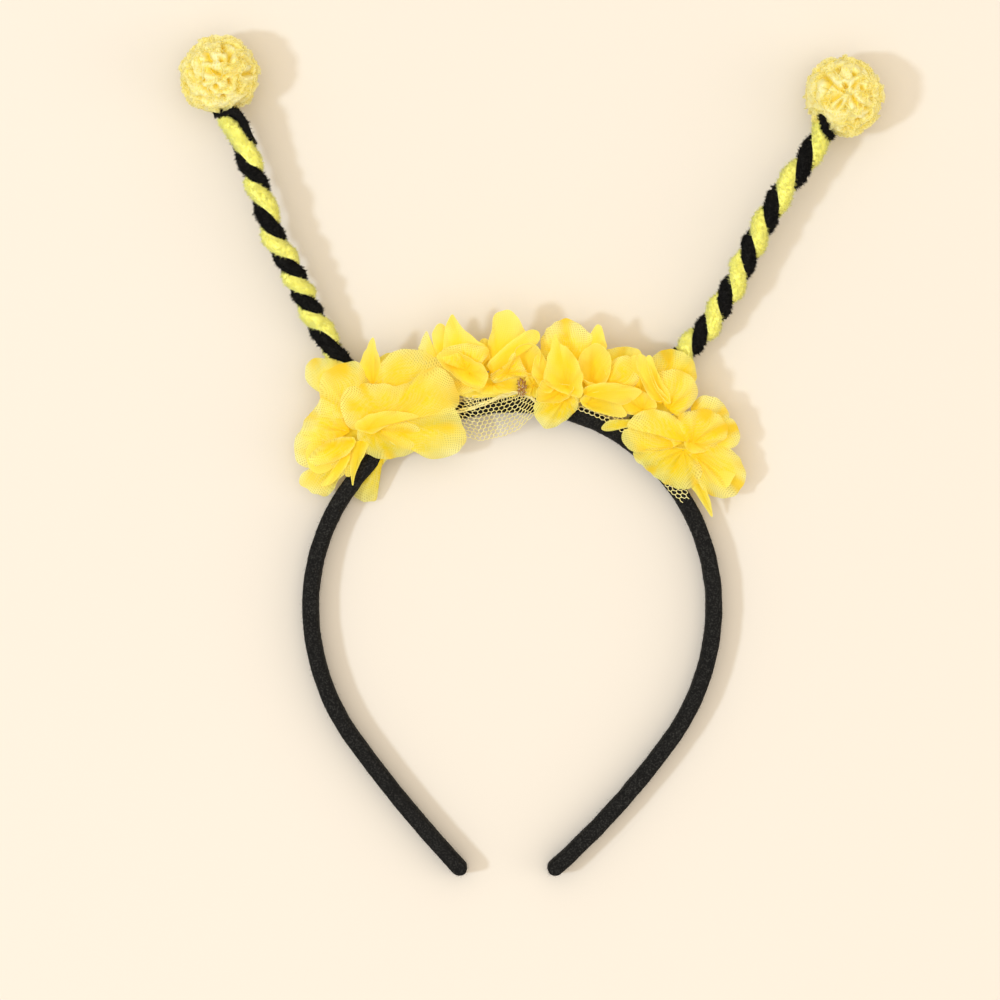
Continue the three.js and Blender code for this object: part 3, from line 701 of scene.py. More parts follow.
def felt_band():
    """The band's points and faces, and the outward direction at each point."""
    across, up = band_section()
    tip = BAND_THICKNESS / 2
    turns = np.linspace(0, np.pi / 2, 9)[1:]
    ends = []
    for end, before in ((LINE[0], LINE[1]), (LINE[-1], LINE[-2])):
        along = units(end[:2] - before[:2])
        ends.append(np.array([[*(end[:2] + tip * math.sin(t) * along), *end[2:],
                               max(math.cos(t), 0.02), 0.86 + 0.14 * math.cos(t)] for t in turns]))
    body = np.hstack([LINE, np.ones((len(LINE), 2))])
    path = np.vstack([ends[0][::-1], body, ends[1]])
    points = np.stack([
        path[:, 0, None] + path[:, 2, None] * across * path[:, 4, None],
        path[:, 1, None] + path[:, 3, None] * across * path[:, 4, None],
        BAND_HEIGHT / 2 + up * path[:, 5, None]], axis=-1)
    seam = np.exp(-(((up + SEAM_DROP) / SEAM_WIDTH) ** 2)) * (across < 0)
    points[..., :2] -= SEAM_RISE * seam[None, :, None] * path[:, None, 2:4]
    flat = points.reshape(-1, 3)
    middle = np.repeat(points.mean(axis=1), points.shape[1], axis=0)
    outward = units(flat - middle)
    flat = flat + outward * (0.07 * waves(flat, 1.4, 3) + 0.10 * waves(flat, 7.0, 4) - 0.1)[:, None]
    flat[:, 2] = np.maximum(flat[:, 2], 0.0)
    faces = grid_faces(len(path), len(across), closed=True) + capped(len(path), len(across))
    return np.vstack([flat, points[0].mean(axis=0), points[-1].mean(axis=0)]), faces, outward


skin, skin_faces, skin_out = felt_band()
print("band skin:", len(skin_faces), "faces")


# %% The band's fibres
FUZZ_HAIRS, FUZZ_WIDTH, FUZZ_LENGTHS, FUZZ_LOWEST = 12000, 0.03, (0.25, 0.75), 0.04


def felt_fuzz(surface, outward, count, seed):
    """Stray fibres that lean every way over the felt."""
    rng = np.random.default_rng(seed)
    chosen = rng.integers(0, len(outward), count)
    lean = units(outward[chosen] + 0.9 * rng.normal(size=(count, 3)))
    roots = surface[chosen] - 0.1 * outward[chosen]
    roots = roots + rng.uniform(-0.5, 0.5, (count, 3)) * [1, 1, 0.2]
    tips = roots + lean * rng.uniform(*FUZZ_LENGTHS, (count, 1))
    for ends in (roots, tips):
        ends[:, 2] = np.maximum(ends[:, 2], FUZZ_LOWEST)
    return hairs(roots, tips, FUZZ_WIDTH)


fuzz, fuzz_faces = felt_fuzz(skin, skin_out, FUZZ_HAIRS, 11)
shade = np.concatenate([np.full(len(skin), 0.8), np.tile([0.6, 0.6, 0.6, 1.0], len(fuzz) // 4)])
band = piece("band_felt", np.vstack([skin, fuzz]), skin_faces + (fuzz_faces + len(skin)).tolist(), [FELT],
             {"gather_and_shade": both_ways(shade)})
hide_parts("band")
print("band faces", len(band.data.polygons))

# %% [markdown]
# ## Antennae
# Each antenna is two chenille stems, one black and one lemon, twisted round each other. Chenille
# is a wire with soft pile all round, so where the two lie against each other the pile is pressed
# flat: the section of each is a disc with one side cut straight. A curve object with that bevel and
# a tilt at each point would give the same form. Here the section is swept in code, turning as the
# photograph shows, because the pile has to know which points are free and which are pressed against
# the other strand. It stands out in small tufts.

# %% Routes and twists
LEFT_ROUTE = [
    (-84.8, 147.5, 12.0), (-82.0, 141.2, 12.3), (-77.4, 130.2, 12.8), (-73.6, 119.2, 13.0),
    (-70.4, 109.1, 12.8), (-65.3, 99.6, 12.2), (-60.5, 89.3, 11.0), (-54.7, 78.4, 9.2),
    (-48.9, 69.0, 7.0), (-42.2, 58.6, 5.4), (-37.3, 49.6, 5.0)]
RIGHT_ROUTE = [
    (93.6, 143.6, 12.0), (90.1, 137.3, 12.3), (85.4, 129.6, 12.8), (80.8, 124.2, 13.0),
    (76.5, 116.8, 12.8), (71.6, 107.9, 12.4), (66.3, 96.4, 11.4), (62.9, 90.9, 10.6),
    (59.4, 84.8, 9.6), (55.6, 80.1, 8.6), (51.0, 75.0, 7.2), (43.2, 63.6, 5.4), (35.4, 51.6, 5.0)]
# The twist: how far along, in pitches, and how many turns the black strand has made by there
LEFT_TURNS = [
    (-0.05, -0.20), (0.08, 0.0), (0.20, 0.25), (0.50, 0.45), (0.90, 0.58), (1.28, 0.75), (1.68, 1.25),
    (2.20, 1.70), (2.58, 2), (3.55, 3), (4.34, 4), (4.98, 4.74), (5.84, 5.26), (6.5, 6), (7.4, 7)]
RIGHT_TURNS = [(0.0, 0.10), (0.37, 0.5), (1.02, 1), (2.21, 2), (3.20, 3), (4.24, 4), (5.15, 5),
               (6.1, 6), (7.1, 7)]
TWIST_PITCH, ROPE_STEP = 14.4, 0.3
# How far a strand's middle is from the rope's, and the radius of each strand's disc
STRAND_OFFSET = 1.0
STRAND_RADIUS = {("left", "black"): 2.3, ("left", "yellow"): 2.5,
                 ("right", "black"): 2.35, ("right", "yellow"): 2.55}


def rope(route, turns):
    """Centre line, its side and up directions, and the twist's angle at every step, and its length."""
    knots = np.array(route)
    knots[:, 1] -= CROWN_RADIUS
    length = np.linalg.norm(np.diff(through(knots, 400), axis=0), axis=1).sum()
    centre = through(knots, int(length / ROPE_STEP))
    along, side = beside(centre)
    up = np.cross(along, side)
    turns = np.interp(np.linspace(0, length / TWIST_PITCH, len(centre)), *np.transpose(turns))
    return centre, side, up, -2 * np.pi * turns, length


print("routes of", len(LEFT_ROUTE), "and", len(RIGHT_ROUTE), "places")


# %% One strand and its pile
STRAND_SIDES, END_SIDES, LOWEST_TIP = 30, 20, 0.1


def swept(centre, outward, sideways, out, across, seed):
    """A tube with closed ends whose section is given by out and across, and where it is free."""
    count = len(out)
    points = (centre[:, None] + outward[:, None] * out[None, :, None]
              + sideways[:, None] * across[None, :, None]).reshape(-1, 3)
    inside = centre + outward * (out.max() + out.min()) / 2
    ray = units(points - np.repeat(inside, count, axis=0))
    free = np.tile(out > out.min() + 0.25, len(centre))
    points = points + ray * (free * (0.13 * waves(points, 2.2, seed) - 0.10))[:, None]
    faces = grid_faces(len(centre), count, closed=True) + capped(len(centre), count)
    return np.vstack([points, inside[[0, -1]]]), faces, ray, np.flatnonzero(free)


def tufted(points, ray, free, tufts, each, reach, spread, width, seed):
    """Hairs whose tips gather in small tufts, standing out from a strand."""
    rng = np.random.default_rng(seed)
    spot = rng.choice(free, tufts)
    lean = units(ray[spot] + 0.45 * rng.normal(size=(tufts, 3)))
    peak = points[spot] + lean * (reach * rng.beta(2.0, 2.4, (tufts, 1)) + 0.10)
    roots = np.repeat(points[spot] - 0.25 * ray[spot], each, axis=0)
    roots = roots + 0.2 * rng.normal(size=(tufts * each, 3))
    tips = np.repeat(peak, each, axis=0) + spread * rng.normal(size=(tufts * each, 3))
    tips[:, 2] = np.maximum(tips[:, 2], LOWEST_TIP)
    return hairs(roots, tips, width)


def strand(line, middle, radius, seed):
    """A disc with a flat side, swept along the rope at its angle of the twist."""
    centre, side, up, twist, _ = line
    round_it = ring(STRAND_SIDES)
    out = np.maximum(STRAND_OFFSET + radius * np.cos(round_it), 0.03)
    angle = (twist + middle)[:, None]
    outward, sideways = [up * np.cos(a) - side * np.sin(a) for a in (angle, angle + np.pi / 2)]
    return swept(centre, outward, sideways, out, radius * np.sin(round_it), seed)


def loose_end(spots, radius, seed):
    """A free end of a strand: a round tube through places of the photograph's frame."""
    centre = through([from_photo(*spot) for spot in spots], 30)
    along, side = beside(centre)
    round_it = ring(END_SIDES)
    slim = np.ones(len(centre))
    slim[[0, 1, -2, -1]] *= [0.55, 0.85, 0.85, 0.55]
    made = swept(centre, np.cross(along, side), side, radius * np.cos(round_it),
                 radius * np.sin(round_it), seed)
    middles = np.repeat(centre, END_SIDES, axis=0)
    made[0][:-2] = middles + (made[0][:-2] - middles) * np.repeat(slim, END_SIDES)[:, None]
    return made


print("strands have", STRAND_SIDES, "sides")

# %% Both antennae
# Each colour: angle in the twist, finish, tufts per mm, hairs in each, their reach, spread and width
PLIES = {"black": (0.0, BLACK_PILE, 30, 6, 1.30, 0.20, 0.08),
         "yellow": (math.pi, LEMON_PILE, 64, 5, 1.35, 0.26, 0.085)}
# The black strand's end, bent over the lemon one under each pompom
LEFT_END = [(216.0, 115.0, 12.6), (222.5, 113.5, 15.0), (231.5, 112.5, 16.2), (238.5, 115.5, 16.0),
            (243.5, 123.0, 15.2), (247.5, 132.0, 14.6), (251.5, 141.0, 13.8), (253.5, 146.0, 12.6)]
RIGHT_END = [(819.5, 116.5, 17.4), (822.0, 123.0, 17.6), (825.0, 131.0, 16.4), (830.5, 139.0, 13.4)]
END_RADIUS = {"left": 1.3, "right": 1.05}


def antenna(side_name, route, turns, end, seed):
    """Both strands of one antenna, each a piece of its own, and the end that is bent over."""
    line = rope(route, turns)
    for ply, (colour, (middle, finish, tufts, each, reach, spread, width)) in enumerate(PLIES.items()):
        parts = [strand(line, middle, STRAND_RADIUS[side_name, colour], seed + ply)]
        if colour == "black":
            parts.append(loose_end(end, END_RADIUS[side_name], seed + 5))
        points, faces, gather_and_shade, start = [], [], [], 0
        for core, core_faces, ray, free in parts:
            count = int(tufts * line[4] * len(free) / len(parts[0][3]))
            pile_points, pile_faces = tufted(core, ray, free, count, each, reach, spread, width,
                                             seed + 9 + ply)
            points += [core, pile_points]
            faces += [[index + start for index in face] for face in core_faces]
            faces += (pile_faces + start + len(core)).tolist()
            # painted shade: each core a little darker, each hair darker at its foot than at its tip
            gather_and_shade += [np.full(len(core), 0.60), np.tile([0.45, 0.45, 0.45, 1.0], count * each)]
            start += len(core) + len(pile_points)
        gather_and_shade = np.concatenate(gather_and_shade)
        made = piece(f"chenille_{side_name}_{colour}", np.vstack(points), faces, [finish],
                     {"gather_and_shade": both_ways(gather_and_shade)})
        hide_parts(f"antenna_{side_name}_{colour}")
        print(made.name, len(made.data.polygons), "faces on a rope of", round(line[4], 1), "mm")


antenna("left", LEFT_ROUTE, LEFT_TURNS, LEFT_END, 20)
antenna("right", RIGHT_ROUTE, RIGHT_TURNS, RIGHT_END, 40)

# %% [markdown]
# ## Pompoms
# Each pompom is a long lace ruffle gathered into a ball. Most of it shows as soft swelling folds
# with deep creases between them, so a fine ball is pressed in along the creases that the
# photograph shows, and along others of the same kind on the sides that it doesn't. A simulated
# ruffle would gather itself, but with folds elsewhere than the photograph's. Small frills with a
# scalloped edge then stand out all round, as the free edge of the ruffle does.

# %% Pompom sizes
POMPOM_RADIUS = 12.0
# In mm: how far the ball lies inside that, and how much puffs, ruffles and wrinkles lift it
BALL_INSET, BALL_PUFF, BALL_RUFFLE, BALL_WRINKLE = 1.9, 0.35, 0.9, 0.30
BALL_PRESS = 0.64  # the share of a crease's depth that is really pressed in
HIDDEN_CREASES, FRILLS = 16, 130
# Creases from one place of the photograph's frame to another, and their depth in millimetres. The
# cloth overhangs on the left of the way from start to end; a crease with no length is the mouth
# of a small fold
LEFT_CREASES = [
    (206.7, 50.5, 213.9, 63.9, 2.6), (224.4, 53.9, 224.4, 41.7, 2.2), (235.5, 51.7, 232.2, 67.2, 2.6),
    (208.9, 70.6, 227.8, 79.4, 2.6), (227.8, 79.4, 234.0, 76.0, 1.6), (233.9, 85.0, 234.3, 87.0, 3.6),
    (257.8, 75.0, 244.4, 78.3, 2.4), (243.9, 58.3, 254.4, 62.8, 2.4), (224.4, 61.7, 225.0, 62.5, 2.8),
    (202.0, 82.8, 202.8, 83.4, 2.2), (217.8, 90.6, 218.3, 92.0, 2.4), (200.0, 90.5, 214.4, 97.2, 2.0),
    (226.0, 101.7, 226.4, 103.0, 2.4), (195.0, 101.0, 201.0, 102.0, 1.6), (190.0, 62.0, 194.0, 78.0, 1.4)]
RIGHT_CREASES = [
    (817.0, 70.0, 832.8, 90.0, 2.6), (843.0, 96.0, 832.8, 90.0, 2.2), (841.0, 97.0, 825.0, 106.7, 2.0),
    (840.6, 102.0, 832.0, 115.0, 2.4), (850.6, 98.5, 856.0, 106.7, 2.6), (856.0, 106.7, 869.4, 112.0, 2.4),
    (842.6, 86.5, 843.4, 88.6, 3.4), (853.0, 73.5, 853.8, 74.4, 2.8), (848.0, 91.0, 856.0, 82.0, 1.6),
    (861.5, 89.5, 862.0, 90.5, 2.2), (877.0, 94.0, 868.0, 97.0, 1.8), (869.0, 101.0, 877.0, 100.5, 1.6),
    (838.0, 66.0, 835.0, 73.0, 1.6), (857.0, 125.5, 857.8, 126.4, 2.2), (842.8, 133.0, 843.6, 133.6, 2.0),
    (845.5, 106.0, 841.7, 118.0, 1.6), (826.0, 84.0, 822.0, 96.0, 1.4)]
POMPOMS = {"left": ((-86.8, 157.1), LEFT_CREASES, 5), "right": ((98.3, 151.1), RIGHT_CREASES, 8)}
for name, (place, marks, seed) in POMPOMS.items():
    print(name, "pompom at", place, "with", len(marks), "creases")


# %% The pressed ball
def on_ball(across, down, middle):
    """The direction from a ball's middle to the place where the camera sees that spot."""
    flat = (from_photo(across, down, 0.0) - middle)[:2] / POMPOM_RADIUS
    flat = flat * min(1.0, 0.98 / max(np.linalg.norm(flat), 1e-6))
    return np.array([*flat, math.sqrt(1 - flat @ flat)])


def hidden_creases(rng, count):
    """Creases on the lower half, which the camera doesn't see."""
    made = []
    while len(made) < count:
        start = units(rng.normal(size=3))
        if start[2] > -0.05:
            continue
        finish = units(start + 0.75 * units(np.cross(start, rng.normal(size=3))))
        made.append((start, finish, rng.uniform(1.4, 2.8)))
    return made


def pressed(directions, creases):
    """How far the ball is pressed in, in each direction: steep under the lip, gentle before it."""
    depth = np.zeros(len(directions))
    for start, finish, most in creases:
        span = finish - start
        share = np.clip(((directions - start) @ span) / max(span @ span, 1e-9), 0, 1)
        nearest = units(start + share[:, None] * span)
        gap = POMPOM_RADIUS * np.linalg.norm(directions - nearest, axis=1)
        if np.linalg.norm(span) < 0.1:
            depth += most * np.exp(-((gap / 0.75) ** 2)) - 0.10 * most * np.exp(-(((gap - 1.7) / 0.8) ** 2))
            continue
        across = POMPOM_RADIUS * ((directions - nearest) * units(np.cross(nearest, span))).sum(axis=1)
        lip = 0.5 + 0.5 * np.clip(across / 0.3, -1, 1)
        taper = 1 - 0.6 * np.abs(2 * share - 1) ** 2
        steep = np.exp(-((gap / 0.42) ** 2)) - 0.36 * np.exp(-(((gap - 1.3) / 0.9) ** 2))
        gentle = np.exp(-((gap / 1.15) ** 1.5)) - 0.14 * np.exp(-(((gap - 3.0) / 1.2) ** 2))
        depth += most * taper * (lip * steep + (1 - lip) * gentle)
    return depth


def lace_ball(middle, creases, seed):
    """The ball's points and faces, its place on the cloth, and a map for its painted shade, which is deepest
    in the creases and between the ruffles.
    """
    rows, columns = 132, 216
    level, standing = np.meshgrid(ring(columns), np.linspace(0.012, np.pi - 0.012, rows))
    directions = np.stack([np.sin(standing) * np.cos(level), np.sin(standing) * np.sin(level),
                           np.cos(standing)], axis=-1).reshape(-1, 3)
    whole = POMPOM_RADIUS * directions
    depth = pressed(directions, creases)

    def rounded(*parts):
        """Swells from 0 to 1 out of waves, each with its share, width in mm and place in the seeds."""
        turns = sum(share * waves(whole, width, seed + step) for share, width, step in parts)
        return 0.5 + 0.5 * np.cos(2 * np.pi * turns)

    ruffles = rounded((1.05, 10.5, 1), (0.12, 3.0, 4)) ** 0.45 * (1 - 0.6 * np.clip(depth, 0, 1))
    wrinkles = rounded((0.9, 3.4, 6), (0.5, 9.0, 7))
    lift = (BALL_PUFF * waves(whole, 9.0, seed) + BALL_RUFFLE * ruffles + BALL_WRINKLE * wrinkles ** 0.6
            - BALL_PRESS * depth)
    points = middle + directions * (POMPOM_RADIUS - BALL_INSET + lift)[:, None]
    cloth = whole[:, :2] / np.maximum(np.sin(standing).reshape(-1, 1), 1e-3) * standing.reshape(-1, 1)
    cloth = cloth + np.stack([1.2 * waves(whole, 9.0, seed + 2), 1.2 * waves(whole, 9.0, seed + 3)], axis=1)
    # painted shade: deep yellow in the creases and between the ruffles, least where they swell
    gather_and_shade = np.clip((0.30 + 0.70 * ruffles + 0.25 * wrinkles) * (1.15 - depth / 1.5), 0, 1)
    return points, grid_faces(rows, columns, closed=True), cloth, gather_and_shade


print("a pompom's ball lies", BALL_INSET, "mm inside its frills")


# %% Frills
def frills(middle, creases, count, seed):
    """Standing ruffles with a scalloped free edge, all over the ball."""
    rng = np.random.default_rng(seed)
    points, faces, cloths, frill_shades = [], [], [], []
    rows, columns = 6, 49
    for _ in range(count):
        out = units(rng.normal(size=3))
        heading = units(np.cross(out, rng.normal(size=3)))
        sideways = np.cross(out, heading)
        length, height, sway = rng.uniform(5.5, 9.5), rng.uniform(2.0, 2.9), rng.uniform(0.5, 1.1)
        lean, beats, phase = rng.uniform(-1.3, 1.3), rng.uniform(0.8, 1.8), rng.uniform(0, 6.28)
        s = np.linspace(-0.5, 0.5, columns)
        ends = 1 - (2 * np.abs(s)) ** 4
        for row in range(rows):
            rise = row / (rows - 1)
            scallop = 0.28 * rise ** 4 * (1 - np.abs(np.sin(np.pi * length * s / 1.3)))
            bend = sway * np.sin(2 * np.pi * beats * s + phase) * (0.5 + rise) + lean * rise ** 2 * ends
            base = POMPOM_RADIUS * out + length * s[:, None] * heading + bend[:, None] * sideways
            ray = units(base)
            reach = POMPOM_RADIUS - 2.3 + height * rise * (0.35 + 0.65 * ends) - scallop
            reach = reach - 0.5 * pressed(ray, creases)
            points.append(middle + ray * np.minimum(reach, POMPOM_RADIUS + 0.6)[:, None])
            cloths.append(np.stack([length * s, np.full(columns, height * rise)], axis=1))
            # painted shade at each frill's foot, fading towards its free edge
            frill_shades.append(np.full(columns, 0.35 + 0.65 * rise))
        faces += grid_faces(rows, columns, start=(len(points) - rows) * columns)
    points = np.vstack(points)
    points[:, 2] = np.maximum(points[:, 2], 0.0)
    return points, faces, np.vstack(cloths), np.concatenate(frill_shades)


def pompom(side_name):
    """The ball and its frills as one piece that replaces the CAD's ball."""
    place, marks, seed = POMPOMS[side_name]
    middle = np.array([place[0], place[1] - CROWN_RADIUS, POMPOM_RADIUS])
    creases = [(on_ball(a, b, middle), on_ball(c, d, middle), depth) for a, b, c, d, depth in marks]
    creases += hidden_creases(np.random.default_rng(seed), HIDDEN_CREASES)
    ball, faces, cloth, gather_and_shade = lace_ball(middle, creases, seed)
    edge, edge_faces, edge_cloth, edge_shade = frills(middle, creases, FRILLS, seed + 30)
    finish = [0] * len(faces) + [1] * len(edge_faces)
    faces += [[index + len(ball) for index in face] for face in edge_faces]
    gather_and_shade = np.concatenate([gather_and_shade, edge_shade])
    maps = {"cloth_mm": np.vstack([cloth, edge_cloth]), "gather_and_shade": both_ways(gather_and_shade)}
    made = piece(f"lace_pompom_{side_name}", np.vstack([ball, edge]), faces, [LACE, LACE_EDGE], maps, finish)
    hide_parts(f"pompom_{side_name}")
    print(made.name, len(faces), "faces")


for side_name in POMPOMS:
    pompom(side_name)

# %% [markdown]
# ## Net
# The flowers are sewn to a strip of stiff net with six-sided holes. It lies along the band and
# droops inside the crown between the flowers. A see-through pattern would do from above, but not
# from the side, so each thread of each hole is a thin three-sided rod, mapped on to the same strip
# of sections as the CAD solid, and the holes are really open.

# %% The strip's surface
# Arc in degrees round the crown, and both edges as shares of the crown's radius, left to right
NET_SECTIONS = np.array([
    (133, 0.99, 1.04), (126, 0.97, 1.06), (114, 0.96, 1.07), (107, 0.88, 1.07), (101, 0.83, 1.06),
    (93, 0.84, 1.06), (88, 0.87, 1.06), (84, 0.94, 1.06), (79, 1.00, 1.07), (73, 1.02, 1.08),
    (63, 1.02, 1.08), (54, 1.01, 1.08), (47, 0.99, 1.07), (41, 0.965, 1.05), (36, 0.96, 1.04),
    (32, 0.98, 1.03)])[::-1]
NET_TOP = BAND_HEIGHT + 0.5
NET_START, NET_ARC, NET_END, NET_ROWS = 32, 106, 129, 14
NET_DROOP, NET_DROOP_POWER = 0.42, 1.15  # how deep it hangs, and how its fall grows inwards
HOLE_LONG, HOLE_SHORT = 1.62, 1.46
NET_THREAD = 0.145
# The strip's folded edge, a roll of threads that runs from the left flower over the band's top
ROLL = [(450, 413, 11.2), (464, 410, 11.6), (480, 405.5, 12), (494, 399.5, 12.2), (506, 395, 12.4),
        (518, 393, 12.4), (528, 396, 12.2), (537, 403, 11.6)]


def net_edges(arc):
    """How far the strip's inner and outer edges lie from the crown's centre, in mm."""
    return [CROWN_RADIUS * np.interp(arc, NET_SECTIONS[:, 0], NET_SECTIONS[:, k]) for k in (1, 2)]


def net_place(arc, share):
    """A point of the strip: arc in degrees round the crown, share from its inner to its outer edge."""
    inner, outer = net_edges(arc)
    reach = inner + (outer - inner) * share
    inside = CROWN_RADIUS - BAND_THICKNESS / 2 - reach
    drop = NET_DROOP * np.maximum(inside + 1.0, 0) ** NET_DROOP_POWER
    turn = np.radians(arc)
    return np.stack([reach * np.cos(turn), reach * np.sin(turn) - CROWN_RADIUS, NET_TOP - drop], axis=-1)


print("the net is", round(float(np.ptp(NET_SECTIONS[:, 0]))), "degrees of the crown long")


# %% The threads
def rods(starts, ends, radius):
    """Thin three-sided rods, open at their ends."""
    along = units(ends - starts)
    corners = around(along, units(np.cross(along, UP) + 1e-9), radius)
    points = np.stack([side + c for side in (starts, ends) for c in corners], axis=1).reshape(-1, 3)
    base = 6 * np.arange(len(starts))[:, None]
    faces = np.concatenate([base + [k, (k + 1) % 3, 3 + (k + 1) % 3, 3 + k] for k in range(3)], axis=0)
    return points, faces


def hex_threads():
    """Where each thread starts and ends, in mm along the crown and mm from the inner edge."""
    lines = []
    half, quarter = HOLE_LONG / 2, HOLE_SHORT / 4
    for column in range(int(CROWN_RADIUS * math.radians(NET_ARC) / HOLE_LONG)):
        for row in range(NET_ROWS):
            x = (column + 0.5 * (row % 2)) * HOLE_LONG
            y = row * HOLE_SHORT * 0.75
            steps = ((half, quarter), (-half, quarter), (0, -2 * quarter))
            lines += [((x, y), (x + right, y + up)) for right, up in steps]
    return np.array(lines)


def roll_threads(strands, seed):
    """Short lengths of thread that wind round the folded edge."""
    middle = through([from_photo(*spot) for spot in ROLL], 90)
    side = beside(middle)[1]
    rng = np.random.default_rng(seed)
    starts, ends = [], []
    for strand_number in range(strands):
        spin = np.linspace(0, rng.uniform(10, 22), len(middle)) * rng.choice([-1, 1]) + rng.uniform(0, 6.28)
        reach = 0.42 + 0.12 * np.sin(np.linspace(0, 17, len(middle)) + strand_number)
        turned = np.cos(spin)[:, None] * side + np.sin(spin)[:, None] * UP
        line = middle + reach[:, None] * turned
        starts.append(line[:-1])
        ends.append(line[1:])
    return np.stack([np.vstack(starts), np.vstack(ends)], axis=1)


print("a net of", len(hex_threads()), "threads to cut the strip from")

# %% The strip
# Sewing threads that show in the opening between the two middle flowers
STITCHES = [
    ((518.0, 380.0), (521.0, 396.0)), ((520.5, 379.0), (518.5, 395.0)), ((523.0, 379.5), (522.5, 397.0)),
    ((525.5, 381.0), (524.0, 396.0)), ((516.5, 384.0), (527.0, 388.0)), ((517.0, 390.5), (527.0, 385.5)),
    ((517.5, 387.0), (526.5, 393.0)), ((519.0, 376.5), (524.5, 383.5))]
# The arc, in degrees, and the share of the width from which the strip is doubled
DOUBLED_FROM, DOUBLED_TO, DOUBLED_SHARE = 84, 104, 0.74


def net_strip():
    """The strip, its doubled part, its rolled edge and the sewing threads as one piece."""
    lines = hex_threads()
    arc = NET_START + np.degrees(lines[..., 0] / CROWN_RADIUS)
    inner, outer = net_edges(arc)
    share = lines[..., 1] / (outer - inner)
    kept = (share.max(axis=1) <= 1.02) & (arc.max(axis=1) < NET_END) & (share.min(axis=1) > -0.05)
    spots = net_place(arc, share)
    flat = spots.reshape(-1, 3)
    flat[:, 2] += 0.25 * waves(flat, 8.0, 61)
    spots = flat.reshape(spots.shape)
    doubled = (kept & (arc.min(axis=1) > DOUBLED_FROM) & (arc.max(axis=1) < DOUBLED_TO)
               & (share.min(axis=1) > DOUBLED_SHARE))
    second = spots[doubled] + [0.6 * HOLE_LONG, 0.25, 0.45]
    spots = np.vstack([spots[kept], second, roll_threads(9, 63)])
    points, faces = rods(spots[:, 0], spots[:, 1], NET_THREAD)
    sewn = np.array([[from_photo(*a, 13.6), from_photo(*b, 13.9)] for a, b in STITCHES])
    sewn_points, sewn_faces = rods(sewn[:, 0], sewn[:, 1], 1.6 * NET_THREAD)
    finish = [0] * len(faces) + [1] * len(sewn_faces)
    faces = np.vstack([faces, sewn_faces + len(points)])
    points = np.vstack([points, sewn_points])
    shade = 0.5 + 0.5 * waves(points, 6.0, 62)
    made = piece("net_threads", points, faces.tolist(), [NET, THREAD], {"gather_and_shade": both_ways(shade)}, finish)
    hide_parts("net_strip")
    area = sum(p.area for p in made.data.polygons)
    print("net:", len(spots), "threads,", round(area * 1e6), "square mm of thread")


net_strip()

# %% [markdown]
# ## Flowers
# A flower is a strip of chiffon with petals cut along one edge, gathered and sewn in a bunch. The
# shapes that show are lobes that fan out from the stitches. So a petal is drawn as its outline in
# the photograph's frame with a height at each point, and a root where it is gathered. The cloth
# between is a fan of straight lines from root to outline, then swelled or hollowed, pleated from
# the root and ruffled at the edge. A cloth simulation would fold by itself but not into the
# photograph's outlines. A thin bead runs round the petals of close chiffon, as a hot cut leaves it.

# %% A petal's cloth
AROUND, OUTWARDS = 84, 18  # points round a petal's outline, and rings from its root to it
PLEAT, RUFFLE, WOBBLE = 2.9, 0.65, 0.28  # how high pleats and ruffles rise, and the outline strays, in mm
BILLOW, CRINKLE = 0.50, 0.13  # the slow and the fine unevenness of the cloth, in mm
ROLL_FROM = 0.8  # the share of the way out from which the edge rolls down


def petal_surface(root, outline, belly, pleats, curl, seed):
    """Points, cloth coordinates, and a map for painted light and shade: the share of the way out, and how far
    each fold and billow rises there.
    """
    edge = np.array([from_photo(*spot) for spot in outline])
    edge = through(edge, AROUND, closed=True)
    root = from_photo(*root)
    stray = WOBBLE * waves(edge * [1, 1, 0], 3.6, seed + 70)
    edge = edge + units((edge - root) * [1, 1, 0]) * stray[:, None]
    share = (np.linspace(0.02, 1, OUTWARDS) ** 0.9)[:, None]
    points = root + (edge - root)[None] * share[..., None]
    at = np.arctan2(edge[:, 1] - root[1], edge[:, 0] - root[0])
    reach = np.linalg.norm((edge - root)[:, :2], axis=1)
    far = np.clip(reach / reach.max(), 0.15, 1)
    count, depth = pleats
    rise = belly * 4 * share * (1 - share) * far
    beat = np.sin(count * at + seed) + 0.6 * np.sin((count + 5) * at + 2.1 * seed)
    fold = PLEAT * depth * beat * share ** 0.8 * (1 - 0.45 * share) * far
    ruffle = waves(edge * [1, 1, 0], 6.0, seed + 90) * share ** 3 * far
    # painted light and shade of the folds: high on pleat ridges and ruffles, low in their valleys
    fold_light = 0.55 + 0.24 * beat * np.minimum(share * 1.6, 1) * min(1, 3 * depth) + 0.25 * ruffle
    ruffle = RUFFLE * ruffle
    roll = -curl * np.clip((share - ROLL_FROM) / (1 - ROLL_FROM), 0, 1) ** 2 * far
    points[..., 2] += rise + fold + ruffle + roll
    flat = points.reshape(-1, 3)
    billow = waves(flat * [1, 1, 0.3], 7.0, seed)
    flat[:, 2] += BILLOW * billow + CRINKLE * waves(flat * [1, 1, 0.3], 2.4, seed + 50)
    heading = math.atan2(*(edge.mean(axis=0) - root)[1::-1])
    local = flat[:, :2] - root[:2]
    uv = np.stack([local[:, 0] * math.cos(heading) + local[:, 1] * math.sin(heading),
                   -local[:, 0] * math.sin(heading) + local[:, 1] * math.cos(heading)], axis=1)
    # the map: the share of the way out, for painted shade at the root and painted light at the edge, and how
    # high the folds and billows rise, for painted light on ridges and painted shade in hollows
    gather_and_shade = np.stack([np.repeat(share[:, 0], AROUND), np.clip(fold_light.ravel() + 0.28 * billow, 0, 1)], axis=1)
    return flat, uv + 3.7 * seed, gather_and_shade


print("a petal is a grid of", OUTWARDS, "rings of", AROUND, "points")


# %% A petal's edge
RIM_RADIUS = 0.065


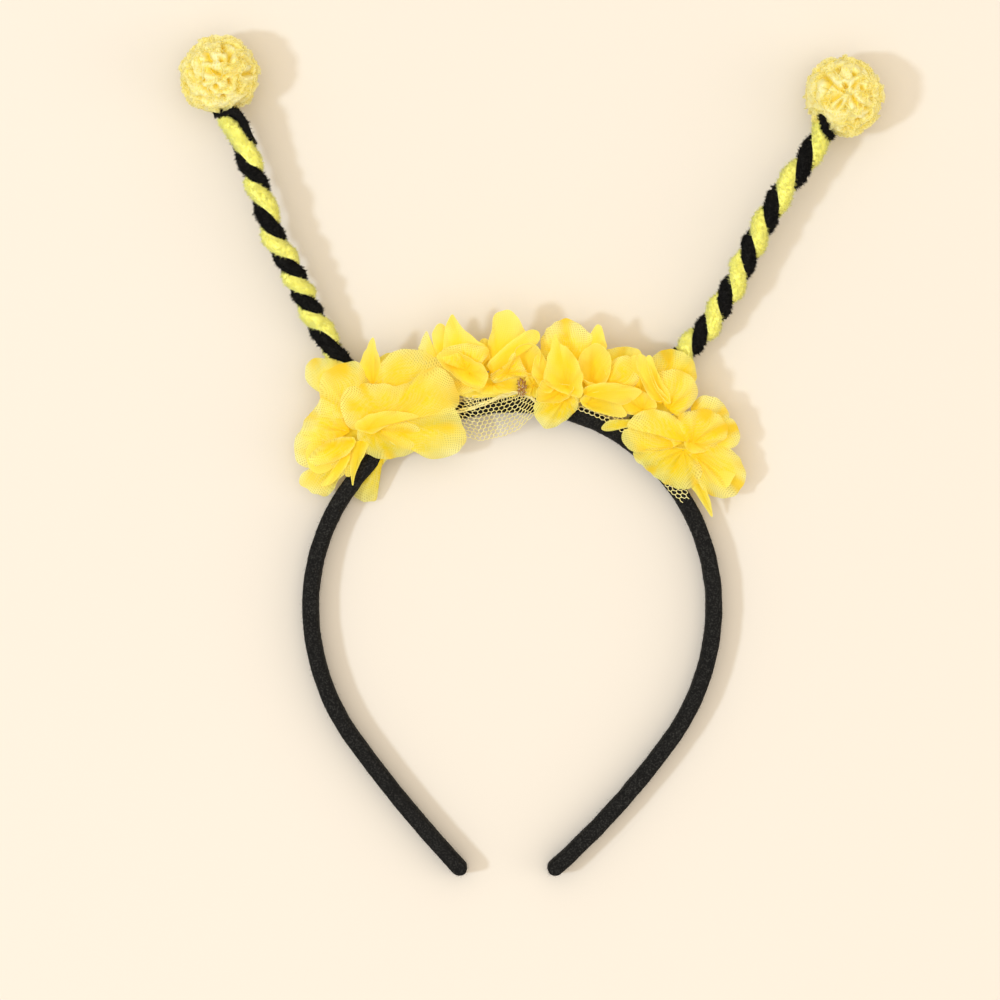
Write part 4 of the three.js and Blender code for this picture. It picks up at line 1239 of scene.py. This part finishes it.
def rim(edge, uv):
    """A thin four-sided bead along a closed edge."""
    along = units(np.roll(edge, -1, axis=0) - np.roll(edge, 1, axis=0))
    first = units(np.cross(along, UP) + 1e-9)
    second = np.cross(along, first)
    rings = [edge + RIM_RADIUS * (a * first + b * second) for a, b in ((1, 0), (0, 1), (-1, 0), (0, -1))]
    return np.stack(rings, axis=1).reshape(-1, 3), np.repeat(uv, 4, axis=0)


def petal(beaded, root, outline, belly, pleats, curl, seed):
    """A petal's points, faces and maps, with or without its bead."""
    points, uv, share = petal_surface(root, outline, belly, pleats, curl, seed)
    faces = grid_faces(OUTWARDS, AROUND, closed=True)
    if not beaded:
        return points, faces, uv, share
    last = (OUTWARDS - 1) * AROUND
    bead, bead_uv = rim(points[last:], uv[last:])
    start = len(points)
    for k in range(AROUND):
        here, beyond = start + 4 * k, start + 4 * ((k + 1) % AROUND)
        faces += [[here + j, here + (j + 1) % 4, beyond + (j + 1) % 4, beyond + j] for j in range(4)]
    share = np.vstack([share, np.ones((len(bead), 2))])
    return np.vstack([points, bead]), faces, np.vstack([uv, bead_uv]), share


OPEN, CLOSE, EDGE = 0, 1, 2
# Each petal: chiffon, root, swell (or hollow), pleats and their depth, curl of the edge, outline.
# Places are the photograph's, with a height in mm, and layers below come first by and large
FLOWERS = {}
print("a bead is", 2 * RIM_RADIUS, "mm thick")
# %% [markdown]
# ### Left flower
# The largest flower: broad open petals spread over the band and hang past both of its sides, and a
# tuft of close ones stands at its heart. Copies of one petal would be quicker to place, but no two
# look alike here, so each has an outline of its own.

# %% Left flower
FLOWERS["flower_left"] = [
    (CLOSE, (360, 405, 12.2), 0.3, (7, 0.3), 0.2, [
        (322, 372, 11.4), (345, 366, 11.4), (372, 372, 11.4), (400, 360, 11.4), (430, 368, 11.4),
        (450, 385, 11.4), (448, 397, 11.4), (430, 404, 11.4), (405, 410, 11.4), (385, 421, 11.4),
        (363, 438, 11.4), (343, 460, 11.4), (318, 474, 11.4), (306, 455, 11.4), (318, 430, 11.4),
        (322, 400, 11.4)]),
    (OPEN, (384, 452, 11.2), 0.0, (9, 0.25), 0.3, [
        (376, 467, 8), (364, 482, 5), (353, 495, 3.2), (360, 500.5, 3), (375, 500.5, 3.2), (378, 484, 5),
        (382, 466, 8.4), (391, 455, 10.6)]),
    (OPEN, (350, 446, 12.5), 0.6, (7, 0.3), 0.5, [
        (346, 457, 12), (333, 465, 11.5), (313, 468, 10), (301.7, 473.3, 9), (299.5, 481, 8.5),
        (305, 488.3, 8), (313.3, 493.3, 7.5), (326, 496, 7.6), (334, 489, 9.4), (338, 481, 10.9),
        (347, 471, 11.2), (352, 458, 11.6)]),
    (OPEN, (348, 441, 12.8), 0.8, (6, 0.3), 0.5, [
        (350, 447, 12.5), (330, 436, 12.5), (310, 431, 11.5), (298, 433, 10.5), (293.7, 446.7, 10),
        (295, 458, 10), (305, 467.5, 10), (318, 466.5, 11), (340, 453, 12)]),
    (OPEN, (350, 432, 13.5), 0.8, (7, 0.35), 0.5, [
        (346, 412, 13.5), (333, 401, 13), (321.7, 398.3, 12.5), (316, 408, 12), (305, 418, 11.5),
        (301.5, 427, 11.2), (302.5, 436, 11.2), (315, 443, 12), (335, 442, 13)]),
    (OPEN, (350, 408, 13.5), 0.8, (6, 0.3), 0.6, [
        (345, 396, 13), (330, 394, 12.2), (318.3, 391.7, 11.5), (308.3, 383.3, 10.5), (304.5, 371.7, 10),
        (309, 361, 10), (318.3, 357.3, 10.2), (330, 359, 11), (343, 361.7, 12), (353, 374, 13)]),
    (OPEN, (358, 420, 14), 1.2, (9, 0.35), 0.5, [
        (338, 418, 13.4), (326, 407, 13), (320, 398, 12.7), (319, 386, 12.7), (324, 374, 13),
        (335, 366, 13.4), (348, 362, 13.8), (361, 363, 13.6), (369, 373, 13.5), (373, 392, 14)]),
    (CLOSE, (388, 372, 12), 0.2, (4, 0.2), 0.2, [
        (378, 364, 11.2), (381, 356, 10.8), (390, 352.3, 10.6), (400, 353.5, 10.6), (404, 366, 11.5)]),
    (OPEN, (402, 410, 13.6), 0.8, (8, 0.35), 0.4, [
        (412, 380, 13.6), (425, 365, 13.5), (440, 361.5, 13.4), (452, 373, 13.2), (462, 383, 13),
        (474.5, 389.5, 12.6), (466, 394, 12.6), (452, 397, 13), (430, 402, 15)]),
    (OPEN, (384, 406, 14.6), 1.6, (8, 0.4), 0.5, [
        (375, 390, 14.5), (377, 374, 14.5), (383, 361, 14.3), (392, 353.3, 14), (403.3, 349.3, 13.8),
        (414, 349.8, 13.8), (424, 352.3, 13.8), (436, 357.3, 13.8), (445, 365, 14), (449, 378, 14.5),
        (430, 393, 15), (405, 403, 15)]),
    (CLOSE, (373, 386, 14.4), -0.4, (3, 0.5), 0.0, [
        (363, 372, 14), (361, 363, 14.6), (366, 351, 15.6), (373.4, 338, 16.6), (377, 350, 15.8),
        (380.5, 362, 14.8), (379, 378, 14.4)]),
    (OPEN, (382, 431, 15.5), 1.0, (10, 0.3), 0.6, [
        (393, 418, 16), (412, 407, 16.5), (432, 401, 16.5), (450, 402, 15.8), (456, 409, 15),
        (461, 420, 14.4),
        (466.3, 434, 13.5), (465, 444, 13), (457, 452.5, 12.6), (441, 458.3, 12.3), (427, 458.3, 12.5),
        (414, 451.5, 13.5), (400, 447, 14.5), (389, 440, 15)]),
    (OPEN, (374, 430, 16), 0.9, (8, 0.25), 0.5, [
        (362, 426, 15.6), (358, 431, 15), (357.5, 438, 14.2), (360.5, 446, 13.2), (366.7, 453.3, 12.4),
        (379, 458.3, 12), (396.7, 458, 12), (413, 452.5, 12.8), (422, 441, 14.5), (418, 426, 16),
        (395, 420, 16.8)]),
    (OPEN, (386, 424, 16.4), 2.6, (11, 0.28), 0.7, [
        (356, 430, 15.6), (344, 417, 15.4), (341.2, 403, 15.6), (344, 392, 15.8), (352, 386.5, 16.2),
        (366, 384, 17), (382, 384, 17.4), (396, 386, 17.6), (409, 383, 17.8), (421.7, 372.5, 17.8),
        (436.7, 367.5, 17.2), (449, 375, 16.6), (457, 388, 15.8), (460.3, 398, 15.2), (455, 409, 15),
        (440, 415, 15.8), (420, 418, 16.4), (400, 420, 16.8)]),
    (CLOSE, (368, 430, 18.0), 0.9, (5, 0.2), 0.3, [
        (357, 429, 17), (359, 421, 17.8), (370, 415.5, 18.8), (386, 411.5, 19.4), (402, 412.5, 19.2),
        (419, 416.5, 18.2), (411, 420.5, 18), (398, 422.5, 18.4), (384, 428, 18.4), (372, 434, 17.6)]),
    (OPEN, (353, 441, 15), -1.6, (4, 0.25), -0.2, [
        (353, 437, 15.6), (336, 438.5, 16.6), (321, 445.5, 16.6), (311, 454.5, 16), (308.3, 459.5, 15.4),
        (313, 464.5, 15), (328, 464, 15), (345, 456.5, 15), (355, 446, 15)]),
    (CLOSE, (352, 447, 14), 0.2, (3, 0.3), 0.1, [
        (347, 450, 14.2), (338, 462, 13.6), (328, 477, 12.8), (321, 485.5, 12.2), (330, 484.5, 12.3),
        (340, 475, 12.9), (350, 459, 13.5)]),
    (OPEN, (354, 449, 12.8), 0.1, (3, 0.2), 0.1, [
        (347.5, 461, 12.2), (345, 474, 11.8), (350.5, 477, 11.8), (354, 466, 12.3), (357, 455, 12.6)]),
    (CLOSE, (362, 441, 14.6), 0.5, (3, 0.35), 0.2, [
        (353, 443, 14.2), (349.7, 456, 13.5), (351, 471, 12.6), (352.7, 486, 12), (355.3, 475, 12.8),
        (359.4, 464.5, 13.3), (366, 451.5, 14), (368, 442, 14.6)]),
]
print("flower_left has", len(FLOWERS["flower_left"]), "petals")

# %% [markdown]
# ### Middle left flower
# Narrow petals stand side by side, the tallest with tips close to 20 mm high. Seen from above each
# is a thin lobe, so the heights along its outline do as much as the outline itself. Bending a flat
# petal upwards would do too, but a height at each place is easier to compare with the photograph.

# %% Middle left flower
FLOWERS["flower_middle_left"] = [
    (CLOSE, (488, 372, 12.3), 0.3, (7, 0.3), 0.2, [
        (432, 352, 11.4), (450, 340, 11.4), (475, 345, 11.4), (500, 340, 11.4), (525, 345, 11.4),
        (535, 365, 11.4), (528, 385, 11.4), (515, 396, 11.4), (490, 397, 11.4), (462, 396, 11.4),
        (448, 385, 11.4), (438, 372, 11.4)]),
    (CLOSE, (484, 360, 13), 0.1, (4, 0.2), 0.2, [
        (478, 349, 12.8), (480, 341.5, 12.6), (484, 338.8, 12.5), (489, 342, 12.8), (492, 353, 13)]),
    (OPEN, (443, 374, 12.6), 0.3, (5, 0.25), 0.1, [
        (430, 363, 12), (419, 352.5, 11.6), (421, 343, 12), (426.3, 331.2, 12.6), (431, 340, 12.6),
        (437, 352, 12.6), (447, 365, 12.8)]),
    (CLOSE, (452, 374, 13), 0.3, (4, 0.25), 0.3, [
        (438, 360, 13), (434, 348, 13.5), (432.6, 334, 14), (435.5, 327, 14.3), (440.5, 324.8, 14.5),
        (445.7, 328, 14.3), (447, 341, 14), (453, 357, 13.6)]),
    (CLOSE, (492, 384, 12.4), 0.4, (6, 0.3), 0.2, [
        (466, 385, 12.4), (474, 390.5, 12.2), (484, 393.5, 12), (500, 393, 12), (516, 392, 12),
        (523, 384, 12.5), (518, 378, 13), (500, 379, 13.6), (480, 379, 13.6)]),
    (CLOSE, (468, 378, 14), 1.2, (6, 0.25), 0.3, [
        (445, 364, 14), (443.2, 350, 15), (445, 333, 16.5), (448.5, 321, 17.5), (452.5, 315.5, 18),
        (457, 321.5, 17.8), (464, 330.5, 17.2), (475, 339.5, 16.5), (487, 349, 15.8), (486, 362, 15)]),
    (CLOSE, (500, 376, 14), 1.0, (5, 0.25), 0.3, [
        (488, 358, 14.2), (488.5, 343, 15.5), (492, 330, 17), (493.5, 319, 18), (498, 313.3, 18.4),
        (505.5, 311.2, 18.6), (513, 313.5, 18.5), (519, 320, 18), (523.4, 329, 17.2), (527, 341, 16),
        (521, 359, 14.8)]),
    (CLOSE, (492, 374, 16), 0.7, (5, 0.25), 0.3, [
        (486, 366, 16.4), (498, 354, 18), (512, 341.5, 19), (525, 333, 19.5), (534, 331, 19.3),
        (539.4, 334, 19), (538.7, 342, 18.3), (529, 350, 17.6), (513, 358, 17), (500, 368, 16.5)]),
    (CLOSE, (524, 378, 14.4), -2.6, (5, 0.3), -0.3, [
        (516, 366, 16), (514.5, 353, 18), (520, 346.3, 18.9), (528, 344.3, 19.3), (536, 346.8, 18.9),
        (540.3, 354, 18), (539, 365, 16.5), (534, 375, 15)]),
    (OPEN, (507, 374, 15.4), 0.7, (8, 0.25), 0.3, [
        (494, 383, 14.5), (490, 376, 15), (496, 366, 16), (506, 358, 17), (517, 352.5, 17.6),
        (521.5, 362, 16.6), (527.3, 376, 14.5), (515, 378.3, 14.2), (503, 381.5, 14)]),
    (CLOSE, (533, 386, 13.4), -0.6, (4, 0.25), 0.0, [
        (526, 379, 13.8), (523.3, 388, 12.8), (527, 395, 12.4), (534, 397.7, 12.2), (540, 392, 12.6),
        (541, 383, 13.4), (536, 375, 14.2)]),
    (OPEN, (466, 371, 16.8), 1.0, (7, 0.2), 0.4, [
        (445, 364, 16), (437, 358, 16.2), (442, 351.3, 17), (453, 345.8, 18), (465, 344, 18.4),
        (477, 345.8, 18), (489.3, 351, 17.2), (484, 361, 17), (474, 368, 17)]),
    (CLOSE, (470, 374, 17.6), -2.4, (3, 0.2), -0.5, [
        (436.8, 357, 18), (446, 351.8, 18.8), (456, 351.5, 19.4), (466, 357, 19.6), (476, 362, 19.6),
        (484, 367, 19.4), (487.6, 376, 18.6), (485.5, 385, 17.6), (479, 388.3, 17), (466, 385, 17.2),
        (455, 376, 17.4), (443, 367, 17.7)]),
]
print("flower_middle_left has", len(FLOWERS["flower_middle_left"]), "petals")

# %% [markdown]
# ### Middle right flower
# Petals fan out on both sides of a knot of upright ones, and the lower ones hang over the band's
# inner side. The list runs from the layers below to those above, as far as they can be told
# apart, because a petal is easier to place when the one that it lies on is there already.

# %% Middle right flower
FLOWERS["flower_middle_right"] = [
    (CLOSE, (580, 378, 12.2), 0.3, (7, 0.3), 0.2, [
        (540, 350, 11.4), (560, 335, 11.4), (585, 345, 11.4), (605, 360, 11.4), (625, 368, 11.4),
        (630, 388, 11.4), (622, 402, 11.4), (600, 404, 11.4), (580, 402, 11.4), (555, 408, 11.4),
        (540, 395, 11.4), (535, 370, 11.4)]),
    (CLOSE, (612, 378, 13), 0.5, (6, 0.25), 0.3, [
        (600, 362, 13), (605, 351, 12.8), (614, 348, 12.6), (626, 347.6, 12.5), (638, 350.3, 12.6),
        (642, 360, 13), (634, 371, 13)]),
    (CLOSE, (592, 362, 14), 0.2, (3, 0.3), 0.1, [
        (585.5, 348, 14.2), (590, 335, 15.2), (594, 328, 15.8), (597.3, 325, 16), (601.5, 328.5, 15.8),
        (604, 337, 15.2), (604.6, 351, 14.5)]),
    (OPEN, (568, 374, 14), 1.4, (8, 0.3), 0.4, [
        (546, 362, 14), (540.3, 345, 14.5), (543, 335, 15), (549, 327, 15.4), (558, 321.3, 15.8),
        (567, 319.1, 16), (575, 322.3, 16), (586.7, 331.5, 15.8), (593.2, 338.5, 15.4), (589, 349, 15),
        (580, 360, 14.5)]),
    (OPEN, (608, 388, 14.6), 0.8, (7, 0.25), 0.3, [
        (604, 370, 15), (612, 361, 15.5), (621.7, 356.3, 16), (630, 357.6, 16), (636, 366, 15.8),
        (638.2, 374, 15.4), (636.7, 384, 14.8), (626, 389, 14.4)]),
    (OPEN, (566, 398, 13.8), 0.5, (8, 0.3), 0.4, [
        (548, 400, 13.8), (536, 402, 13.2), (533.6, 409, 12.8), (535.3, 418, 12.4), (543, 426.4, 12),
        (551, 428, 12), (560, 424.3, 12), (569, 417.3, 12.3), (576.7, 408, 12.8), (578, 399, 13.4),
        (573, 394, 13.8)]),
    (OPEN, (634, 423, 12.6), 0.2, (5, 0.2), 0.1, [
        (641, 420.5, 12.8), (625, 419.6, 12.6), (613, 419.8, 12.4), (606, 421.8, 12.2), (601.7, 426.5, 12),
        (602, 429.7, 12), (609, 431.2, 12), (625, 428.5, 12.3), (640, 427, 12.8)]),
    (CLOSE, (586, 404, 14), -1.2, (5, 0.25), -0.2, [
        (580, 399, 14.6), (590, 393.4, 15.6), (603, 392, 16), (611, 396, 15.8), (619, 403, 15.2),
        (626.3, 415.5, 14), (618, 417.3, 13.4), (608, 415.5, 13), (594, 411, 13), (583, 406, 13.4)]),
    (CLOSE, (584, 395, 15.6), 0.7, (6, 0.25), 0.3, [
        (581, 391, 16), (590, 386, 17), (602, 383.4, 17.6), (614, 383.8, 17.6), (625, 385.8, 17.3),
        (636, 388.8, 17), (641, 392.5, 16.6), (634, 399, 16), (622, 405, 15), (606, 400, 15.4),
        (594, 398, 15.6)]),
    (CLOSE, (590, 391, 15), -3.2, (5, 0.3), -0.4, [
        (579, 377, 16.6), (577.8, 363, 18), (582, 353, 18.8), (589, 346.3, 19.2), (597, 344.6, 19.2),
        (605, 349.8, 19), (610.3, 362, 18), (608, 376, 16.8), (600, 386, 16)]),
    (CLOSE, (551, 384, 14.6), -1.2, (4, 0.25), -0.3, [
        (546, 362, 16.6), (539.5, 352.7, 17), (534.3, 361, 17), (532, 371, 16.6), (534.8, 380, 16),
        (541, 389, 15.4), (550, 393, 15), (557, 381, 15.6)]),
    (CLOSE, (560, 393, 15), -1.9, (5, 0.25), -0.4, [
        (569, 386, 17), (556, 384.5, 17.2), (549, 384, 17), (541.7, 381.3, 17), (537.3, 391, 17),
        (536, 399, 16.6), (541, 402.7, 16.4), (552, 403.4, 16.4), (562, 401.7, 16.6), (569.5, 396.5, 17),
        (573, 389, 17.6)]),
    (CLOSE, (567, 388, 16.6), 1.8, (6, 0.22), 0.2, [
        (549.5, 387, 16.2), (543.8, 377, 17), (546.7, 363, 18), (551.5, 345, 19.5), (555.8, 334.3, 20.5),
        (558.5, 343, 20.4), (566, 348.8, 20.2), (576.7, 361, 19.8), (581.3, 374, 19), (582.4, 386, 18),
        (580.7, 397, 17), (575, 397, 16.6)]),
]
print("flower_middle_right has", len(FLOWERS["flower_middle_right"]), "petals")

# %% [markdown]
# ### Right flower
# A small flower that is half hidden by its neighbours. Only what shows and what holds it together
# is drawn: petals that nobody can see would cost faces and show nothing.

# %% Right flower
FLOWERS["flower_right"] = [
    (CLOSE, (655, 392, 12.2), 0.3, (7, 0.3), 0.2, [
        (625, 370, 11.4), (650, 360, 11.4), (680, 362, 11.4), (690, 380, 11.4), (688, 402, 11.4),
        (670, 415, 11.4), (645, 416, 11.4), (625, 410, 11.4), (612, 398, 11.4), (618, 382, 11.4)]),
    (CLOSE, (640, 398, 14), 0.5, (6, 0.3), 0.2, [
        (624, 389, 14), (621.5, 374, 14.5), (627, 361.7, 15), (634, 355.7, 15.5), (641, 361, 15.5),
        (647, 378, 15), (651, 391, 14.5)]),
    (OPEN, (670, 394, 13.6), 0.9, (7, 0.3), 0.4, [
        (653, 380, 13.8), (649.7, 364, 14), (656, 353.3, 14), (667, 349, 13.8), (681, 351.3, 13.4),
        (691.3, 359, 13), (695.7, 369, 12.8), (696.3, 380, 12.8), (686, 390, 13)]),
    (CLOSE, (642, 410, 14), 0.7, (6, 0.3), 0.3, [
        (626, 414, 13.5), (612.7, 404, 13.8), (607.5, 394, 14.2), (620, 391.5, 14.8), (640, 391, 15.3),
        (653, 399, 15.3), (655, 408, 14.8), (646, 415, 14)]),
    (OPEN, (668, 410, 15), 1.5, (8, 0.25), 0.5, [
        (656, 395, 16), (653, 380, 16.5), (658.5, 372.7, 16.8), (669, 370.2, 17), (683, 372.3, 16.8),
        (693.3, 380, 16.3), (697.8, 391, 15.6), (694.5, 401, 15), (687, 410, 14.4), (677, 417, 14)]),
    (CLOSE, (660, 404, 16.4), -1.6, (3, 0.2), -0.3, [
        (652, 400, 16.5), (643, 386, 17.5), (635.8, 366, 18.5), (637, 355.8, 19), (642, 355.5, 19.3),
        (647, 361, 19.2), (651, 374, 18.8), (657, 387, 18), (667, 399, 17.2)]),
    (CLOSE, (665, 406, 17), -1.0, (3, 0.2), -0.2, [
        (656, 391, 18), (648.5, 373, 19), (645.8, 359, 19.6), (650, 357.3, 19.6), (654.5, 368, 19),
        (661, 382, 18.4), (668, 393, 17.8), (669.3, 404, 17.2)]),
]
print("flower_right has", len(FLOWERS["flower_right"]), "petals")

# %% [markdown]
# ### Far right flower
# The last flower lies on the band's shoulder. Its broad outer petals lie low and fall a few
# millimetres from root to tip, and a second layer stands over them. Turning a copy of the left
# flower would be quicker, but its layers lie in another order.

# %% Far right flower
FLOWERS["flower_far_right"] = [
    (CLOSE, (690, 436, 12), 0.3, (7, 0.3), 0.2, [
        (632, 425, 11.2), (655, 417, 11.2), (685, 415, 11.2), (712, 412, 11.2), (725, 430, 11.2),
        (728, 452, 11.2), (735, 472, 11.2), (725, 488, 11.2), (712, 480, 11.2), (702, 464, 11.2),
        (685, 453, 11.2), (660, 449, 11.2), (642, 446, 11.2), (630, 440, 11.2)]),
    (CLOSE, (694, 478, 10.6), 0.1, (3, 0.25), 0.0, [
        (690, 484, 10.2), (697, 494, 9), (704, 505, 8), (712.2, 516.5, 7), (711.7, 507, 7.6), (709, 497, 8.5),
        (703, 485, 9.8)]),
    (OPEN, (700, 432, 12), 0.7, (6, 0.3), 0.4, [
        (692, 413, 12), (696.5, 399, 11.8), (706, 395.6, 11.6), (717, 398.8, 11.4), (725.3, 407, 11.3),
        (729.7, 418, 11.2), (723, 429, 11.5)]),
    (OPEN, (706, 443, 12), 0.7, (6, 0.3), 0.4, [
        (715, 424, 12), (729, 417.3, 11.6), (736, 424, 11.3), (739.3, 433, 11), (737.7, 443, 10.8),
        (730, 449.3, 11), (716, 453, 11.5)]),
    (OPEN, (694, 455, 13), 1.2, (8, 0.4), 0.6, [
        (706, 446, 13), (722, 445, 12.4), (733, 451, 11.8), (741.7, 461, 11), (745.5, 474, 10),
        (743.7, 486, 9), (737, 494.7, 8.5), (727, 498.2, 8.3), (714, 496.7, 8.6), (703, 490, 9.6),
        (698, 476, 11.8)]),
    (OPEN, (683, 450, 13.5), 0.9, (9, 0.3), 0.5, [
        (664, 447, 12.8), (642, 450, 12.2), (632.5, 452, 12), (636, 461, 11.8), (645, 468.3, 11.7),
        (653, 475.3, 11.6), (663, 482.3, 11.5), (675, 487.8, 11.5), (687, 489.3, 11.4), (696.3, 484, 11.6),
        (702.3, 472, 12), (700.3, 460, 12.8), (694, 450, 13.4)]),
    (OPEN, (682, 443, 14), -1.4, (6, 0.25), -0.1, [
        (672, 447.5, 13.8), (652, 451.7, 13.6), (634, 451.7, 13.4), (623.3, 444, 13.6), (621, 436, 14),
        (625, 429.3, 14.6), (636, 428, 15), (648, 430, 15), (664, 436, 14.8)]),
    (OPEN, (685, 442, 16), 1.0, (7, 0.25), 0.5, [
        (672, 441, 15.6), (656, 434.5, 15.6), (640, 430, 15.6), (628, 428.3, 15.4), (629, 421, 15.8),
        (636, 414.3, 16.4), (645, 410.7, 16.8), (655, 409.9, 17), (667, 412.7, 17), (678, 420.3, 16.8),
        (684.5, 430, 16.4), (688, 441, 16)]),
    (CLOSE, (690, 440, 15), 0.5, (4, 0.3), 0.2, [
        (684, 437, 15.2), (690, 435, 15.4), (702, 437, 15.2), (712, 443, 14.6), (705, 451, 14.2),
        (694, 453, 14.2),
        (685, 448, 14.6)]),
    (OPEN, (692, 443, 15), 2.0, (8, 0.3), 0.6, [
        (680, 433, 15.8), (676.7, 421, 16.2), (681, 414.2, 16.4), (690, 410.7, 16.4), (704, 409.5, 16.2),
        (717, 413.7, 15.6), (725.7, 424, 15), (727.3, 434, 14.6), (721, 441.8, 14.4), (708, 444.5, 14.6)]),
]
print("flower_far_right has", len(FLOWERS["flower_far_right"]), "petals")

# %% [markdown]
# ### Sewing
# The petals of a flower become one mesh with three finishes: open chiffon, close chiffon and the
# bead. They could stay single objects, but the real flower is one strip of cloth, and the part
# has one solid for it.

# %% Sewing the petals into flowers
for number, (flower, petals) in enumerate(FLOWERS.items()):
    points, faces, uvs, shares, finish, start = [], [], [], [], [], 0
    for k, (cloth, root, belly, pleats, curl, outline) in enumerate(petals):
        beads = 4 * AROUND * (cloth == CLOSE)
        spots, corners, uv, share = petal(beads > 0, root, outline, belly, pleats, curl,
                                          20 * number + k)
        points.append(spots)
        uvs.append(uv)
        shares.append(share)
        faces += [[index + start for index in corner] for corner in corners]
        finish += [cloth] * (len(corners) - beads) + [EDGE] * beads
        start += len(spots)
    made = piece(f"chiffon_{flower}", np.vstack(points), faces, [OPEN_CHIFFON, CLOSE_CHIFFON, BEAD],
                 {"cloth_mm": np.vstack(uvs), "gather_and_shade": np.vstack(shares)}, finish)
    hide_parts(flower)
